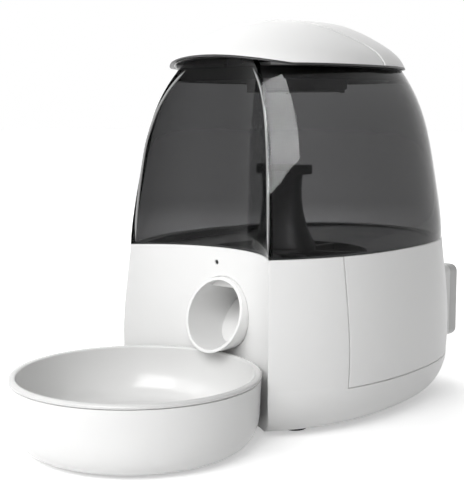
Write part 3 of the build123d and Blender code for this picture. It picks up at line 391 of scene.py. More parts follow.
def metal(name, colour, across, along):
    """Plain bright metal with fine lines and rubbed edges."""
    material, tree, shader = blank_material(name)
    lines = group_node(tree, "turned", Across=across, Along=along)
    rubbed = group_node(tree, "wear", Amount=0.3)["Mask"]
    bright = opaque([min(1.0, part * 1.25) for part in colour])
    shown = blend_colour(tree, rubbed, opaque(colour), bright)
    tree.links.new(shown, shader.inputs["Base Color"])
    shader.inputs["Metallic"].default_value = 1.0
    tree.links.new(lines["Roughness"], shader.inputs["Roughness"])
    finish_bump(tree, shader, lines["Height"], 0.000004, 0.0002)
    return material


def rubber(name, colour):
    """Soft matt rubber with bloom and dust."""
    material, tree, shader = blank_material(name)
    surface = group_node(
        tree, "moulded", Tint=colour, Clouds=0.25, Grain=3400.0, Gloss_low=0.62, Gloss_high=0.82
    )
    settled = group_node(tree, "dust", Amount=0.5)["Mask"]
    shown = blend_colour(tree, settled, surface["Colour"], (0.20, 0.195, 0.19, 1.0))
    tree.links.new(shown, shader.inputs["Base Color"])
    tree.links.new(surface["Roughness"], shader.inputs["Roughness"])
    shader.inputs["Specular IOR Level"].default_value = 0.3
    finish_bump(tree, shader, surface["Height"], 0.00003, 0.0003)
    return material


def glow(name, colour, strength):
    """A finish that gives off a little light of its own."""
    material, tree, shader = blank_material(name)
    surface = group_node(tree, "moulded", Tint=colour, Clouds=0.1, Grain=4000.0)
    tree.links.new(surface["Colour"], shader.inputs["Base Color"])
    tree.links.new(surface["Colour"], shader.inputs["Emission Color"])
    shader.inputs["Emission Strength"].default_value = strength
    tree.links.new(surface["Roughness"], shader.inputs["Roughness"])
    return material


FINISHES = {}

# Which finish each carried-over solid wears
WEARS = {
    "white": ("main_housing", "rear_cover", "bottom_plate", "battery_cover"),
    "lid_white": ("lid_shell", "lid_crown", "lid_button"),
    "bowl_outside": ("outer_bowl",),
    "bowl_inside": ("inner_bowl",),
    "spout": ("chute",),
    "pod": ("control_pod",),
    "key": ("button_back", "button_set", "button_next", "button_feed"),
    "smoke": ("hopper_tank",),
    "dark": ("hopper_floor", "portion_wheel", "shaft_bush"),
    "collar": ("hopper_collar", "visor_liner", "latch_keeper"),
    "stirrer": ("stirrer",),
    "grey": (
        "lid_inner_plate", "desiccant_box", "desiccant_cover", "battery_box", "bowl_dock",
        "gearbox_case", "gearbox_cover", "latch_hook",
    ),
    "gear": ("drive_gear", "motor_pinion"),
    "rubber": ("rubber_feet", "bowl_pads", "outlet_wiper", "keypad_mat", "lid_seal"),
    "steel": ("base_screws", "drive_shaft", "hinge_pin", "motor", "battery_contacts"),
    "cell": ("battery_cells",),
    "board": ("circuit_board",),
    "black": ("speaker", "power_inlet", "microphone", "display_module", "board_components"),
    "display": ("display_window",),
}


def make_finishes():
    """Builds the shared effects and every finish.

    The denoiser takes gloss in two ways, below and above a roughness of 0.274, and a finish that
    crosses it shows blotches. So the gloss of each pale finish stays on one side.
    """
    GROUPS.update(
        moulded=moulded_group(), wear=wear_group(), dust=dust_group(), turned=turned_group()
    )
    look = bpy.context.scene.feeder_finish
    FINISHES.update(
        white=plastic("White moulded", look.white, (0.33, 0.37), radius=0.0016),
        lid_white=plastic("White lid", look.white, (0.30, 0.33), radius=0.0012),
        bowl_outside=plastic("White bowl", look.bowl, (0.28, 0.30), clouds=0.015, coat=0.05),
        # Partly painted shade: the insert's tone is darker than the bowl's so that the inside of
        # the bowl looks shaded
        bowl_inside=plastic(
            "White bowl insert with painted shade", look.insert, (0.19, 0.215), grain_depth=0.000003, coat=0.15
        ),
        spout=plastic("White spout", look.white, (0.28, 0.34), radius=0.0008),
        pod=plastic("Grey pod", look.pod, (0.34, 0.42)),
        key=plastic("Grey key", look.pod, (0.42, 0.5), radius=0.0002),
        smoke=clear_plastic("Smoked wall", look.smoke, 0.015, bend=1.22, depth=look.smoke_depth),
        dark=plastic("Dark moulded", look.dark, (0.34, 0.46), clouds=0.2, dust=0.12),
        collar=plastic("Dark collar", look.dark, (0.30, 0.4), clouds=0.2, wear=0.1),
        stirrer=plastic("Dark stirrer", look.dark, (0.36, 0.46), clouds=0.2, dust=0.1),
        grey=plastic("Grey moulded", look.grey, (0.36, 0.46), clouds=0.06, wear=0.1),
        gear=plastic("Gear plastic", (0.62, 0.61, 0.57), (0.30, 0.38), clouds=0.05),
        rubber=rubber("Soft rubber", look.rubber),
        steel=metal("Plain steel", look.steel, across=2600.0, along=300.0),
        cell=plastic("Cell sleeve", (0.05, 0.055, 0.06), (0.16, 0.24), coat=0.4),
        board=plastic("Circuit laminate", look.laminate, (0.22, 0.34), clouds=0.15, coat=0.3),
        black=plastic("Black moulded", (0.010, 0.010, 0.010), (0.38, 0.5), clouds=0.2),
        display=clear_plastic("Display window", look.display, 0.02, wave=0.000004),
        lit=glow("Display segment", (0.62, 0.72, 0.70), 1.6),
        # Painted highlight: the mid grey of the beads along the hopper's front edges stands in for
        # the light that those edges catch
        rim=plastic("Rim painted highlight", (0.27, 0.27, 0.27), (0.2, 0.26), radius=0.0),
        mark=plastic("Key mark", (0.82, 0.82, 0.81), (0.4, 0.5), radius=0.0),
        cloth=plastic("Grille cloth", (0.012, 0.012, 0.012), (0.8, 0.9), grain_depth=0.00008),
    )


def wear_finish(obj, finish):
    """Gives an object one finish in every slot."""
    if not obj.data.materials:
        obj.data.materials.append(FINISHES[finish])
    for slot in obj.material_slots:
        slot.material = FINISHES[finish]


# Meshes


def new_piece(name, mesh_maker, finish, body, replaced=()):
    """Links a piece, gives it its finish and lets it ride on its body."""
    mesh = bpy.data.meshes.new(name)
    shape = bmesh.new()
    mesh_maker(shape)
    bmesh.ops.recalc_face_normals(shape, faces=shape.faces)
    shape.to_mesh(mesh)
    shape.free()
    piece = bpy.data.objects.new(name, mesh)
    bpy.context.scene.collection.objects.link(piece)
    for face in mesh.polygons:
        face.use_smooth = True
    mesh.materials.append(FINISHES[finish])
    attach(piece, body)
    if replaced:
        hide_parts(*replaced)
    return piece


def sharpen(piece, degrees=35.0):
    """Marks the edges that turn more than an angle, so that smooth shading stops there."""
    shape = bmesh.new()
    shape.from_mesh(piece.data)
    limit = math.radians(degrees)
    for edge in shape.edges:
        if len(edge.link_faces) == 2 and edge.calc_face_angle() > limit:
            edge.smooth = False
    shape.to_mesh(piece.data)
    shape.free()


def add_rings(shape, rings, place):
    """Adds the skin over rings of points, put at a place. A ring of one point is a tip."""
    made = [[shape.verts.new(place @ Vector(spot)) for spot in ring] for ring in rings]
    steps = max(len(ring) for ring in made)
    for low, high in zip(made, made[1:]):
        for i in range(steps):
            j = (i + 1) % steps
            below = [low[i % len(low)], low[j % len(low)]]
            above = [high[j % len(high)], high[i % len(high)]]
            corners = list(dict.fromkeys(below + above))
            if len(corners) > 2:
                shape.faces.new(corners)


def round_outline(half_width, half_height, steps):
    """Points on a circle or an ellipse."""
    turns = [2 * math.pi * i / steps for i in range(steps)]
    return [(half_width * math.cos(turn), half_height * math.sin(turn)) for turn in turns]


def add_lathe(shape, profile, place, steps):
    """Adds a profile of (radius, height) pairs turned about its own axis, put at a place."""
    rings = []
    for radius, height in profile:
        spots = round_outline(radius, radius, steps) if radius > 0 else [(0.0, 0.0)]
        rings.append([(x, y, height) for x, y in spots])
    add_rings(shape, rings, place)


def close_rows(shape, rows):
    """Adds the walls between rows of vertices, and a face over the first and the last row."""
    for near, far in zip(rows, rows[1:]):
        for i in range(len(near)):
            j = (i + 1) % len(near)
            shape.faces.new([near[i], near[j], far[j], far[i]])
    shape.faces.new(rows[0][::-1])
    shape.faces.new(rows[-1])


def add_plate(shape, outline, low, high, place):
    """Adds a flat plate with a polygon outline between two heights, put at a place."""
    close_rows(shape, [
        [shape.verts.new(place @ Vector((x, y, z))) for x, y in outline] for z in (low, high)
    ])


def rounded_outline(half_width, half_height, radius):
    """Points round a rectangle with rounded corners, about its middle."""
    steps = 6
    points = []
    for x, y, start in ((1, 1, 0), (-1, 1, 90), (-1, -1, 180), (1, -1, 270)):
        for i in range(steps + 1):
            turn = math.radians(start + 90.0 * i / steps)
            points.append((
                x * (half_width - radius) + radius * math.cos(turn),
                y * (half_height - radius) + radius * math.sin(turn),
            ))
    return points


# Where the solids put the small fittings, in metres

SCREW_PLACES = [
    (side * x * MM, y * MM) for x, y in ((55.4, -17.9), (67.17, 74.47), (34.98, 141.12))
    for side in (-1, 1)
] + [(0.0, 72.5 * MM)]
SCREW_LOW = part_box("base_screws")[0].z
DOCK_SCREWS = [(0.0, -10.5 * MM), (0.0, -0.5 * MM)]
DOCK_SCREW_LOW = 0.3 * MM
FOOT_PLACES = [
    (side * x * MM, y * MM) for x, y in ((54.0, -14.5), (65.0, 38.5), (50.0, 130.5))
    for side in (-1, 1)
]
FOOT_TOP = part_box("rubber_feet")[1].z
SPEAKER_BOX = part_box("speaker")
PANE_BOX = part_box("display_window")
MODULE_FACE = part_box("display_module")[1].y
INLET_PLACE = [
    mount["pos_m"] for mount in frame["record"]["mounts"] if mount["name"] == "power_inlet"
][0]

# A plane on the back: across to the viewer's right, up, and out towards the viewer
BACKWARDS = Matrix(((-1, 0, 0, 0), (0, 0, 1, 0), (0, 1, 0, 0), (0, 0, 0, 1)))


def on_back(x, y, z):
    """The back's plane moved to a place."""
    return Matrix.Translation((x, y, z)) @ BACKWARDS


# Small fittings


CROSS_CORNER = 4.0  # degrees past a cross's corner at which its wall gets one more point
THREAD_STEPS = 6  # rings in one turn of a thread


def cross_turns():
    """The turns at which a screw's rings have points, with the corners of its cross among them."""
    fittings = bpy.context.scene.feeder_fittings
    corner = math.degrees(math.atan2(fittings.cross_width / 2, fittings.cross_reach))
    past = corner + CROSS_CORNER
    turns = []
    for quarter in range(4):
        for turn in (-45.0, -30.0, -past, -corner, 0.0, corner, past, 30.0):
            turns.append(math.radians(90.0 * quarter + turn))
    return turns


def cross_radius(turn):
    """How far a cross recess reaches from a screw's axis at a turn."""
    fittings = bpy.context.scene.feeder_fittings
    half = fittings.cross_width / 2
    slope = abs(math.radians((math.degrees(turn) + 45.0) % 90.0 - 45.0))
    if fittings.cross_reach * math.tan(slope) <= half * 1.0001:
        return fittings.cross_reach / math.cos(slope)
    return half / math.sin(slope)


def add_screw(shape, x, y, low, head, shank, reach):
    """Adds a cross-head screw whose head faces down, with a thread cut round its shank."""
    fittings = bpy.context.scene.feeder_fittings
    turns = cross_turns()

    def ring(radius, height):
        shown = radius if callable(radius) else (lambda turn: radius)
        return [(shown(t) * math.cos(t), shown(t) * math.sin(t), height) for t in turns]

    rings = [
        [(0.0, 0.0, fittings.cross_depth)],
        ring(lambda turn: 0.7 * cross_radius(turn), fittings.cross_depth),
        ring(cross_radius, 0.0),
        ring(head * 0.86, 0.0),
        ring(head * 0.97, 0.15 * MM),
        ring(head, 0.45 * MM),
        ring(head, 1.05 * MM),
        ring(shank, 1.08 * MM),
    ]
    pitch = fittings.thread_pitch
    start = 1.3 * MM
    tip = 0.6 * MM
    steps = int((reach - start - tip) / pitch * THREAD_STEPS)
    for i in range(steps + 1):
        height = start + i * pitch / THREAD_STEPS
        fade = min(1.0, i / THREAD_STEPS, (steps - i) / THREAD_STEPS)

        def cut(turn, height=height, fade=fade):
            saw = (height / pitch - turn / (2 * math.pi)) % 1.0
            return shank - fittings.thread_depth * fade * abs(2 * saw - 1)

        rings.append(ring(cut, height))
    rings.append(ring(shank * 0.6, reach - 0.2 * MM))
    rings.append([(0.0, 0.0, reach)])
    add_rings(shape, rings, Matrix.Translation((x, y, low)))


def smooth_points(spots, steps):
    """A smooth curve through spots, with a number of points on each span."""
    ends = [spots[0] * 2 - spots[1]] + list(spots) + [spots[-1] * 2 - spots[-2]]
    points = []
    for before, start, end, after in zip(ends, ends[1:], ends[2:], ends[3:]):
        once = end - before
        twice = 2 * before - 5 * start + 4 * end - after
        thrice = 3 * start - before - 3 * end + after
        for i in range(steps):
            t = i / steps
            points.append(0.5 * (2 * start + once * t + twice * t ** 2 + thrice * t ** 3))
    return points + [spots[-1]]


def add_bead(shape, points, radius):
    """Adds a round bead along a curve, tapered to a tip at both ends."""
    taper = 4
    last = len(points) - 1
    rings = [[points[0]]]
    for i in range(1, last):
        along = (points[i + 1] - points[i - 1]).normalized()
        side = along.cross(Vector((0, 1, 0))).normalized()
        out = side.cross(along)
        size = radius * min(1.0, i / taper, (last - i) / taper)
        rings.append([points[i] + side * x + out * y for x, y in round_outline(size, size, 10)])
    rings.append([points[-1]])
    add_rings(shape, rings, Matrix.Identity(4))


# The line where the hopper's hollow front meets its sides, as (across, up) in millimetres
FRONT_RIM = (
    (63.5, 123), (62.9, 140), (61.8, 155), (60.6, 168), (59, 182),
    (56.7, 197), (51.8, 215), (46, 228), (40, 237), (32, 246),
)
RIM_INSET = 1.3
HOLLOW_RADIUS = 85.8
HOLLOW_MIDDLE = -112.5


class FEEDER_OT_front_rims(bpy.types.Operator):
    """Make the grey beads along both sides of the hopper's hollow front, whose grey is a painted
    highlight on its rounded edges
    """

    bl_idname = "feeder.front_rims"
    bl_label = "Front rims"

    def execute(self, context):
        radius = context.scene.feeder_fittings.rim_radius

        def rims(shape):
            for side in (-1, 1):
                spots = []
                for edge, z in FRONT_RIM:
                    x = edge - RIM_INSET
                    y = HOLLOW_MIDDLE + math.sqrt(HOLLOW_RADIUS ** 2 - x ** 2)
                    spots.append(Vector((side * x, y, z)) * MM)
                add_bead(shape, smooth_points(spots, 6), radius)

        # The beads follow the hopper's rounded front edges; their grey is a painted highlight
        new_piece("front_rim_highlights", rims, "rim", "base")
        return {"FINISHED"}


# The lid's lower edge: level, with the visor's arch at the front, in millimetres
LID_MIDDLE = 45.0
LID_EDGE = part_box("lid_shell")[0].z / MM
ARCH_RISE = 6.0
ARCH_HALF_SPAN = 56.0
ARCH_BACK = 0.0
ARCH_RADIUS = (ARCH_HALF_SPAN ** 2 + ARCH_RISE ** 2) / (2 * ARCH_RISE)

# The edge strip ends this many degrees round from the lid's front, at both sides
STRIP_END = 152.0
STRIP_STEPS = 180
# Its section, in millimetres: under the rim, into the wall, and up to where the rim is rounded
STRIP_BELOW = 0.12
STRIP_UNDER = 3.0
STRIP_BITE = 0.8
STRIP_SINK = 0.3
RIM_ROUND = 0.2
SKIN_STEPS = 5
# Rays towards the lid start this far from its middle, in metres
RAY_START = 0.25
# They find the rim this far over its lower edge, the first one over the arch, in millimetres
RIM_CLEAR = 0.25
ARCH_CLEAR = 1.0
RIM_TRIES = 3


def edge_height(x, y):
    """Height of the lid's lower edge over a place, in millimetres."""
    if abs(x) > ARCH_HALF_SPAN or y > ARCH_BACK:
        return LID_EDGE
    fall = ARCH_RADIUS - math.sqrt(ARCH_RADIUS ** 2 - x ** 2)
    return max(LID_EDGE, LID_EDGE + ARCH_RISE - fall)


def skin_trees(*nodes):
    """Search trees of solids' skins, where they stand."""
    graph = bpy.context.evaluated_depsgraph_get()
    trees = []
    for node in nodes:
        shape = bmesh.new()
        shape.from_object(NODES[node], graph)
        shape.transform(NODES[node].matrix_world)
        trees.append(BVHTree.FromBMesh(shape))
        shape.free()
    return trees


def outer_spot(trees, out, height):
    """Where a level ray towards the lid's middle first meets one of the skins, in millimetres."""
    start = Vector((0.0, LID_MIDDLE * MM, height * MM)) + out * RAY_START
    reaches = [tree.ray_cast(start, -out)[3] for tree in trees]
    reaches = [reach for reach in reaches if reach is not None]
    if not reaches:
        raise RuntimeError("the lid's edge wasn't found")
    return (start - out * min(reaches)) / MM


def strip_section(trees, turn, rise, proud):
    """Corners of the edge strip's section at a turn about the lid's middle, in metres."""
    out = Vector((math.sin(turn), -math.cos(turn), 0.0))
    edge = outer_spot(trees, out, LID_EDGE + ARCH_RISE + ARCH_CLEAR)
    for _ in range(RIM_TRIES):
        low = edge_height(edge.x, edge.y)
        edge = outer_spot(trees, out, low + RIM_CLEAR)
    under = edge - out * STRIP_UNDER
    under_low = edge_height(under.x, under.y)
    corners = [
        (under, under_low + STRIP_SINK), (under, under_low - STRIP_BELOW),
        (edge + out * proud, low - STRIP_BELOW),
    ]
    for step in range(1, SKIN_STEPS + 1):
        height = low + RIM_ROUND + (rise - RIM_ROUND) * step / SKIN_STEPS
        skin = outer_spot(trees, out, height)
        corners.append((skin + out * proud, height))
    corners.append((skin - out * STRIP_BITE, low + rise))
    corners.append((edge - out * STRIP_BITE, low + STRIP_SINK))
    return [(spot.x * MM, spot.y * MM, height * MM) for spot, height in corners]


class FEEDER_OT_lid_edge(bpy.types.Operator):
    """Make the dark edge strip round and under the lid's rim, up to its hinge: partly a dark seal
    line, partly painted shade under the rim
    """

    bl_idname = "feeder.lid_edge"
    bl_label = "Lid edge"

    def execute(self, context):
        fittings = context.scene.feeder_fittings
        rise = fittings.edge_strip_height / MM
        proud = fittings.edge_strip_proud / MM
        trees = skin_trees("lid_shell", "lid_crown")
        sections = []
        for i in range(STRIP_STEPS + 1):
            turn = math.radians(STRIP_END * (2 * i / STRIP_STEPS - 1))
            sections.append(strip_section(trees, turn, rise, proud))

        def strip(shape):
            close_rows(shape, [[shape.verts.new(spot) for spot in row] for row in sections])

        # Partly painted shade: the dark strip covers the rim where it would catch light, as the
        # shade line under the lid
        sharpen(new_piece("lid_edge_shade_strip", strip, "collar", "lid"))
        return {"FINISHED"}


class FEEDER_OT_screws(bpy.types.Operator):
    """Make the cross-head screws of the bottom plate, the battery cover and the dock"""

    bl_idname = "feeder.screws"
    bl_label = "Screws"

    def execute(self, context):
        def base(shape):
            for x, y in SCREW_PLACES:
                add_screw(shape, x, y, SCREW_LOW, head=3.0 * MM, shank=1.4 * MM, reach=8.3 * MM)

        def dock(shape):
            for x, y in DOCK_SCREWS:
                add_screw(shape, x, y, DOCK_SCREW_LOW, 2.6 * MM, shank=1.35 * MM, reach=6.2 * MM)

        sharpen(new_piece("base_screws_threaded", base, "steel", "base", ("base_screws",)))
        sharpen(new_piece("dock_screws", dock, "steel", "base"))
        return {"FINISHED"}


def millimetres(*pairs):
    """Pairs given in millimetres, in metres."""
    return [(first * MM, second * MM) for first, second in pairs]


# A foot's sole, in millimetres, and a groove's section across its own middle
FOOT_DIMPLE = 1.4
FOOT_SOLE = 7.6
GROOVE = ((-0.45, 0.0), (-0.3, 0.45), (0.3, 0.45), (0.45, 0.0))


class FEEDER_OT_feet(bpy.types.Operator):
    """Make the rubber feet with rings cut in their soles"""

    bl_idname = "feeder.feet"
    bl_label = "Feet"

    def execute(self, context):
        grooves = context.scene.feeder_fittings.foot_grooves
        profile = [(0.0, 0.3), (1.2, 0.3), (FOOT_DIMPLE, 0.0)]
        for i in range(grooves):
            middle = FOOT_DIMPLE + (i + 1) * (FOOT_SOLE - FOOT_DIMPLE) / (grooves + 1)
            profile += [(middle + off, height) for off, height in GROOVE]
        top = FOOT_TOP / MM
        profile += [(7.9, 0.0), (8.3, 0.2), (8.5, 0.6), (8.5, top), (0.0, top)]

        def feet(shape):
            for x, y in FOOT_PLACES:
                add_lathe(shape, millimetres(*profile), Matrix.Translation((x, y, 0.0)), 56)

        sharpen(new_piece("feet_grooved", feet, "rubber", "base", ("rubber_feet",)), 25.0)
        return {"FINISHED"}


class FEEDER_OT_speaker_cloth(bpy.types.Operator):
    """Make the cloth behind the speaker's slots"""

    bl_idname = "feeder.speaker_cloth"
    bl_label = "Speaker cloth"

    def execute(self, context):
        profile = millimetres(
            (0.0, 0.0), (16.4, 0.0), (16.6, 0.2), (16.4, 0.4), (6.0, 0.55), (0.0, 0.6)
        )
        low, high = SPEAKER_BOX
        place = Vector(((low.x + high.x) / 2, (low.y + high.y) / 2, low.z + 0.05 * MM))

        def cloth(shape):
            add_lathe(shape, profile, Matrix.Translation(place), 64)

        new_piece("speaker_cloth", cloth, "cloth", "base")
        return {"FINISHED"}


class FEEDER_OT_inlet_contacts(bpy.types.Operator):
    """Make the power inlet's centre pin and the spring ring in its bore"""

    bl_idname = "feeder.inlet_contacts"
    bl_label = "Inlet contacts"

    def execute(self, context):
        place = on_back(*INLET_PLACE)
        pin = millimetres(
            (0.0, -9.3), (1.06, -9.3), (1.06, -1.6), (0.95, -1.15), (0.6, -0.92), (0.0, -0.86)
        )
        ring = millimetres(
            (2.45, -9.0), (2.78, -9.0), (2.78, -0.9), (2.7, -0.75), (2.6, -0.9), (2.5, -2.0),
            (2.32, -3.6), (2.32, -4.4), (2.45, -6.0), (2.45, -9.0),
        )

        def contacts(shape):
            for profile in (pin, ring):
                add_lathe(shape, profile, place, 40)
            bmesh.ops.remove_doubles(shape, verts=shape.verts, dist=1e-6)

        sharpen(new_piece("inlet_contacts", contacts, "steel", "base"))
        return {"FINISHED"}


def plus():
    """The outline of a plain plus sign."""
    arm = 1.7
    half = 0.32
    return millimetres(
        (half, arm), (-half, arm), (-half, half), (-arm, half), (-arm, -half), (-half, -half),
        (-half, -arm), (half, -arm), (half, -half), (arm, -half), (arm, half), (half, half),
    )


def bar(low, high, half):
    """The outline of a level bar between two heights."""
    return millimetres((-half, low), (half, low), (half, high), (-half, high))


# Each key's mark: a bar, a list, a plus, and one pellet of food
KEY_MARKS = {
    "back": (bar(-0.32, 0.32, 1.7),),
    "set": (bar(0.9, 1.4, 1.7), bar(-0.25, 0.25, 1.7), bar(-1.4, -0.9, 1.7)),
    "next": (plus(),),
    "feed": (round_outline(1.5 * MM, 1.15 * MM, 24),),
}


class FEEDER_OT_key_marks(bpy.types.Operator):
    """Make the raised marks on the four keys"""

    bl_idname = "feeder.key_marks"
    bl_label = "Key marks"

    def execute(self, context):
        height = context.scene.feeder_fittings.mark_height
        for key, outlines in KEY_MARKS.items():
            low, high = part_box("button_" + key)
            place = on_back((low.x + high.x) / 2, high.y, (low.z + high.z) / 2)

            def mark(shape, outlines=outlines, place=place):
                for outline in outlines:
                    add_plate(shape, outline, 0.01 * MM, height, place)

            sharpen(new_piece("mark_" + key, mark, "mark", "key_" + key))
        return {"FINISHED"}


# The bars of a seven-bar figure: a on top, then round to f at the upper left, and g in the middle
SEGMENTS = {
    "0": "abcdef", "1": "bc", "2": "abged", "3": "abgcd", "4": "fgbc", "5": "afgcd",
    "6": "afgedc", "7": "abc", "8": "abcdefg", "9": "abcdfg",
}
# Places across the display, in millimetres from its middle
FIGURE_PLACES = (-14.0, -6.6, 3.4, 10.8)
COLON_PLACE = -1.6
LEVEL_PLACE = 18.6


def figure_outlines(figure, height):
    """The lit bars of a seven-bar figure, about its middle."""
    half = height / 2
    wide = height * 0.27
    thick = height * 0.06
    nick = height * 0.02
    lines = {
        "a": ((-wide, half), (wide, half)),
        "b": ((wide, 0), (wide, half)),
        "c": ((wide, -half), (wide, 0)),
        "d": ((-wide, -half), (wide, -half)),
        "e": ((-wide, -half), (-wide, 0)),
        "f": ((-wide, 0), (-wide, half)),
        "g": ((-wide, 0), (wide, 0)),
    }
    outlines = []
    for name in SEGMENTS[figure]:
        start, end = (Vector(spot) for spot in lines[name])
        along = (end - start).normalized()
        across = Vector((-along.y, along.x)) * thick
        start = start + along * nick
        end = end - along * nick
        along = along * thick
        outlines.append([
            start, start + along - across, end - along - across,
            end, end - along + across, start + along + across,
        ])
    return outlines


class FEEDER_OT_display(bpy.types.Operator):
    """Make the display's lit figures and the rounded pane over them"""

    bl_idname = "feeder.display"
    bl_label = "Display"

    def execute(self, context):
        fittings = context.scene.feeder_fittings
        low, high = PANE_BOX
        place = on_back(0.0, MODULE_FACE, (low.z + high.z) / 2)

        def figures(shape):
            def plate(outline, across, up=0.0):
                moved = [(x + across * MM, y + up * MM) for x, y in outline]
                add_plate(shape, moved, 0.03 * MM, 0.12 * MM, place)

            for figure, across in zip(fittings.clock, FIGURE_PLACES):
                for outline in figure_outlines(figure, fittings.digit_height):
                    plate(outline, across)
            for up in (-2.0, 2.0):
                plate(round_outline(0.55 * MM, 0.55 * MM, 12), COLON_PLACE, up)
            for up in (3.6, 1.2, -1.2, -3.6):
                plate(bar(-0.45, 0.45, 1.6), LEVEL_PLACE, up)

        def pane(shape):
            outline = rounded_outline(high.x, (high.z - low.z) / 2, 1.0 * MM)
            add_plate(shape, outline, 0.3 * MM, high.y - MODULE_FACE, place)

        sharpen(new_piece("display_figures", figures, "lit", "base"))
        sharpen(new_piece("display_pane", pane, "display", "base", ("display_window",)))
        return {"FINISHED"}


# Stage


LAMP_TARGET = Vector((0.03, -0.03, 0.17))


def softbox(name, bearing, distance, size, watts, roll=0.0):
    """A rectangular lamp that looks at the object, from so many degrees off its front and up."""
    turn, rise = (math.radians(angle) for angle in bearing)
    level = math.cos(rise)
    away = Vector((math.sin(turn) * level, -math.cos(turn) * level, math.sin(rise)))
    data = bpy.data.lights.new(name, "AREA")
    data.shape = "RECTANGLE"
    data.size, data.size_y = size
    data.energy = watts
    lamp = bpy.data.objects.new(name, data)
    bpy.context.scene.collection.objects.link(lamp)
    lamp.location = LAMP_TARGET + away * distance
    aim = (-away).to_track_quat("-Z", "Y") @ Quaternion((0.0, 0.0, 1.0), math.radians(roll))
    lamp.rotation_euler = aim.to_euler()
    return lamp


def shown_rays(tree):
    """One for rays that see the backdrop, straight or through gloss and glass, and else zero."""
    rays = add_node(tree, "ShaderNodeLightPath").outputs
    through = sums(tree, "MAXIMUM", rays["Is Glossy Ray"], rays["Is Transmission Ray"])
    return sums(tree, "MAXIMUM", rays["Is Camera Ray"], through)


def floor_finish(studio):
    """A matt floor whose colour fades to white away from the object."""
    material, tree, shader = blank_material("Studio floor")
    surface = group_node(
        tree, "moulded", Tint=studio.floor_tone, Clouds=0.01, Grain=600.0, Gloss_low=0.7,
        Gloss_high=0.8,
    )
    tree.links.new(surface["Colour"], shader.inputs["Base Color"])
    tree.links.new(surface["Roughness"], shader.inputs["Roughness"])
    shader.inputs["Specular IOR Level"].default_value = 0.1
    shader.inputs["Emission Color"].default_value = opaque((1, 1, 1))
    place = add_node(tree, "ShaderNodeTexCoord").outputs["Object"]
    away = add_node(tree, "ShaderNodeVectorMath", {"operation": "LENGTH"}, {0: place})
    lift = remap(tree, away.outputs["Value"], 0.35, 2.2, studio.near_lift, studio.far_lift)
    shown = sums(tree, "MULTIPLY", shown_rays(tree), lift)
    tree.links.new(shown, shader.inputs["Emission Strength"])
    return material


def add_floor(studio):
    """Lays the floor just under the feet."""
    reach = studio.floor_reach
    mesh = bpy.data.meshes.new("studio_floor")
    corners = [(-reach, -reach, 0), (reach, -reach, 0), (reach, reach, 0), (-reach, reach, 0)]
    mesh.from_pydata(corners, [], [(0, 1, 2, 3)])
    floor = bpy.data.objects.new("studio_floor", mesh)
    bpy.context.scene.collection.objects.link(floor)
    floor.location.z = -0.0002
    mesh.materials.append(floor_finish(studio))


def add_surround(studio):
    """Makes a world that lights dimly and shows plain white."""
    world = bpy.data.worlds.new("Studio surround")
    world.use_nodes = True
    bpy.context.scene.world = world
    tree = world.node_tree
    tree.nodes.clear()
    light, backdrop = [
        add_node(
            tree, "ShaderNodeBackground", None, {"Color": opaque((1, 1, 1)), "Strength": strength}
        ).outputs[0]
        for strength in (studio.ambient, 1.0)
    ]
    inputs = {0: shown_rays(tree), 1: light, 2: backdrop}
    mix = add_node(tree, "ShaderNodeMixShader", None, inputs)
    add_node(tree, "ShaderNodeOutputWorld", None, {"Surface": mix.outputs[0]})


def add_lamps(studio):
    """Puts the softboxes round the object, and the strip that only the hopper's walls see."""
    wide = (1.0, 0.9)
    softbox("right_box", (20.0, 34.0), 1.5, wide, studio.right_box)
    softbox("front_box", (-20.0, 34.0), 1.5, wide, studio.front_box)
    softbox("left_box", (-60.0, 34.0), 1.5, wide, studio.left_box)
    back = softbox("back_box", (228.0, 34.0), 1.5, (1.2, 1.0), studio.back_box)
    back.visible_glossy = False
    strip = softbox("strip", (64.0, 41.0), 1.2, (0.52, 1.15), studio.strip, roll=12.0)
    strip.visible_diffuse = False
    walls = bpy.data.collections.new("strip_receivers")
    walls.objects.link(NODES["hopper_tank"])
    strip.light_linking.receiver_collection = walls


def add_camera(studio):
    """Stands the camera where the photograph was taken from."""
    data = bpy.data.cameras.new("photo_camera")
    data.lens = studio.lens
    data.sensor_width = 36.0
    data.sensor_fit = "AUTO"
    data.clip_start = 0.01
    data.clip_end = 30.0
    camera = bpy.data.objects.new("photo_camera", data)
    bpy.context.scene.collection.objects.link(camera)
    camera.location = studio.eye
    camera.rotation_euler = (math.pi / 2 - studio.dip, 0.0, studio.heading)
    bpy.context.scene.camera = camera


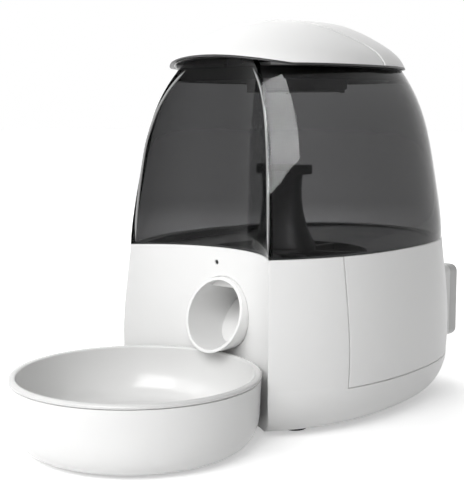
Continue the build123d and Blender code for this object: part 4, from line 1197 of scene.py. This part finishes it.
class FEEDER_OT_stage(bpy.types.Operator):
    """Set the floor, the surrounding light, the lamps and the camera"""

    bl_idname = "feeder.stage"
    bl_label = "Studio"

    def execute(self, context):
        studio = context.scene.feeder_studio
        context.scene.view_settings.view_transform = "Standard"
        add_floor(studio)
        add_surround(studio)
        add_lamps(studio)
        add_camera(studio)
        return {"FINISHED"}


class FEEDER_OT_finishes(bpy.types.Operator):
    """Make every finish and put it on the solids"""

    bl_idname = "feeder.finishes"
    bl_label = "Finishes"

    def execute(self, context):
        make_finishes()
        for finish, nodes in WEARS.items():
            for node in nodes:
                wear_finish(NODES[node], finish)
        return {"FINISHED"}


OPERATORS = (
    FEEDER_OT_finishes, FEEDER_OT_front_rims, FEEDER_OT_lid_edge, FEEDER_OT_screws,
    FEEDER_OT_feet, FEEDER_OT_speaker_cloth, FEEDER_OT_inlet_contacts, FEEDER_OT_key_marks,
    FEEDER_OT_display, FEEDER_OT_stage,
)
SETTINGS = {
    "feeder_studio": FeederStudio,
    "feeder_finish": FeederFinish,
    "feeder_fittings": FeederFittings,
}


class FEEDER_PT_sidebar(bpy.types.Panel):
    """The feeder's sizes, colours and steps"""

    bl_idname = "FEEDER_PT_sidebar"
    bl_label = "Pet feeder"
    bl_space_type = "VIEW_3D"
    bl_region_type = "UI"
    bl_category = "Feeder"

    def draw(self, context):
        layout = self.layout
        for operator in OPERATORS:
            layout.operator(operator.bl_idname)
        for name, settings in SETTINGS.items():
            box = layout.box()
            for value in settings.__annotations__:
                box.prop(getattr(context.scene, name), value)


def register():
    """Makes the settings, the operators and the panel known to Blender."""
    for name, settings in SETTINGS.items():
        bpy.utils.register_class(settings)
        setattr(bpy.types.Scene, name, PointerProperty(type=settings))
    for operator in OPERATORS:
        bpy.utils.register_class(operator)
    bpy.utils.register_class(FEEDER_PT_sidebar)


def unregister():
    """Takes away what register made known."""
    bpy.utils.unregister_class(FEEDER_PT_sidebar)
    for operator in reversed(OPERATORS):
        bpy.utils.unregister_class(operator)
    for name, settings in reversed(SETTINGS.items()):
        delattr(bpy.types.Scene, name)
        bpy.utils.unregister_class(settings)


def main():
    """Runs every step in order."""
    register()
    for operator in OPERATORS:
        group, name = operator.bl_idname.split(".")
        getattr(getattr(bpy.ops, group), name)()


if __name__ == "__main__":
    main()
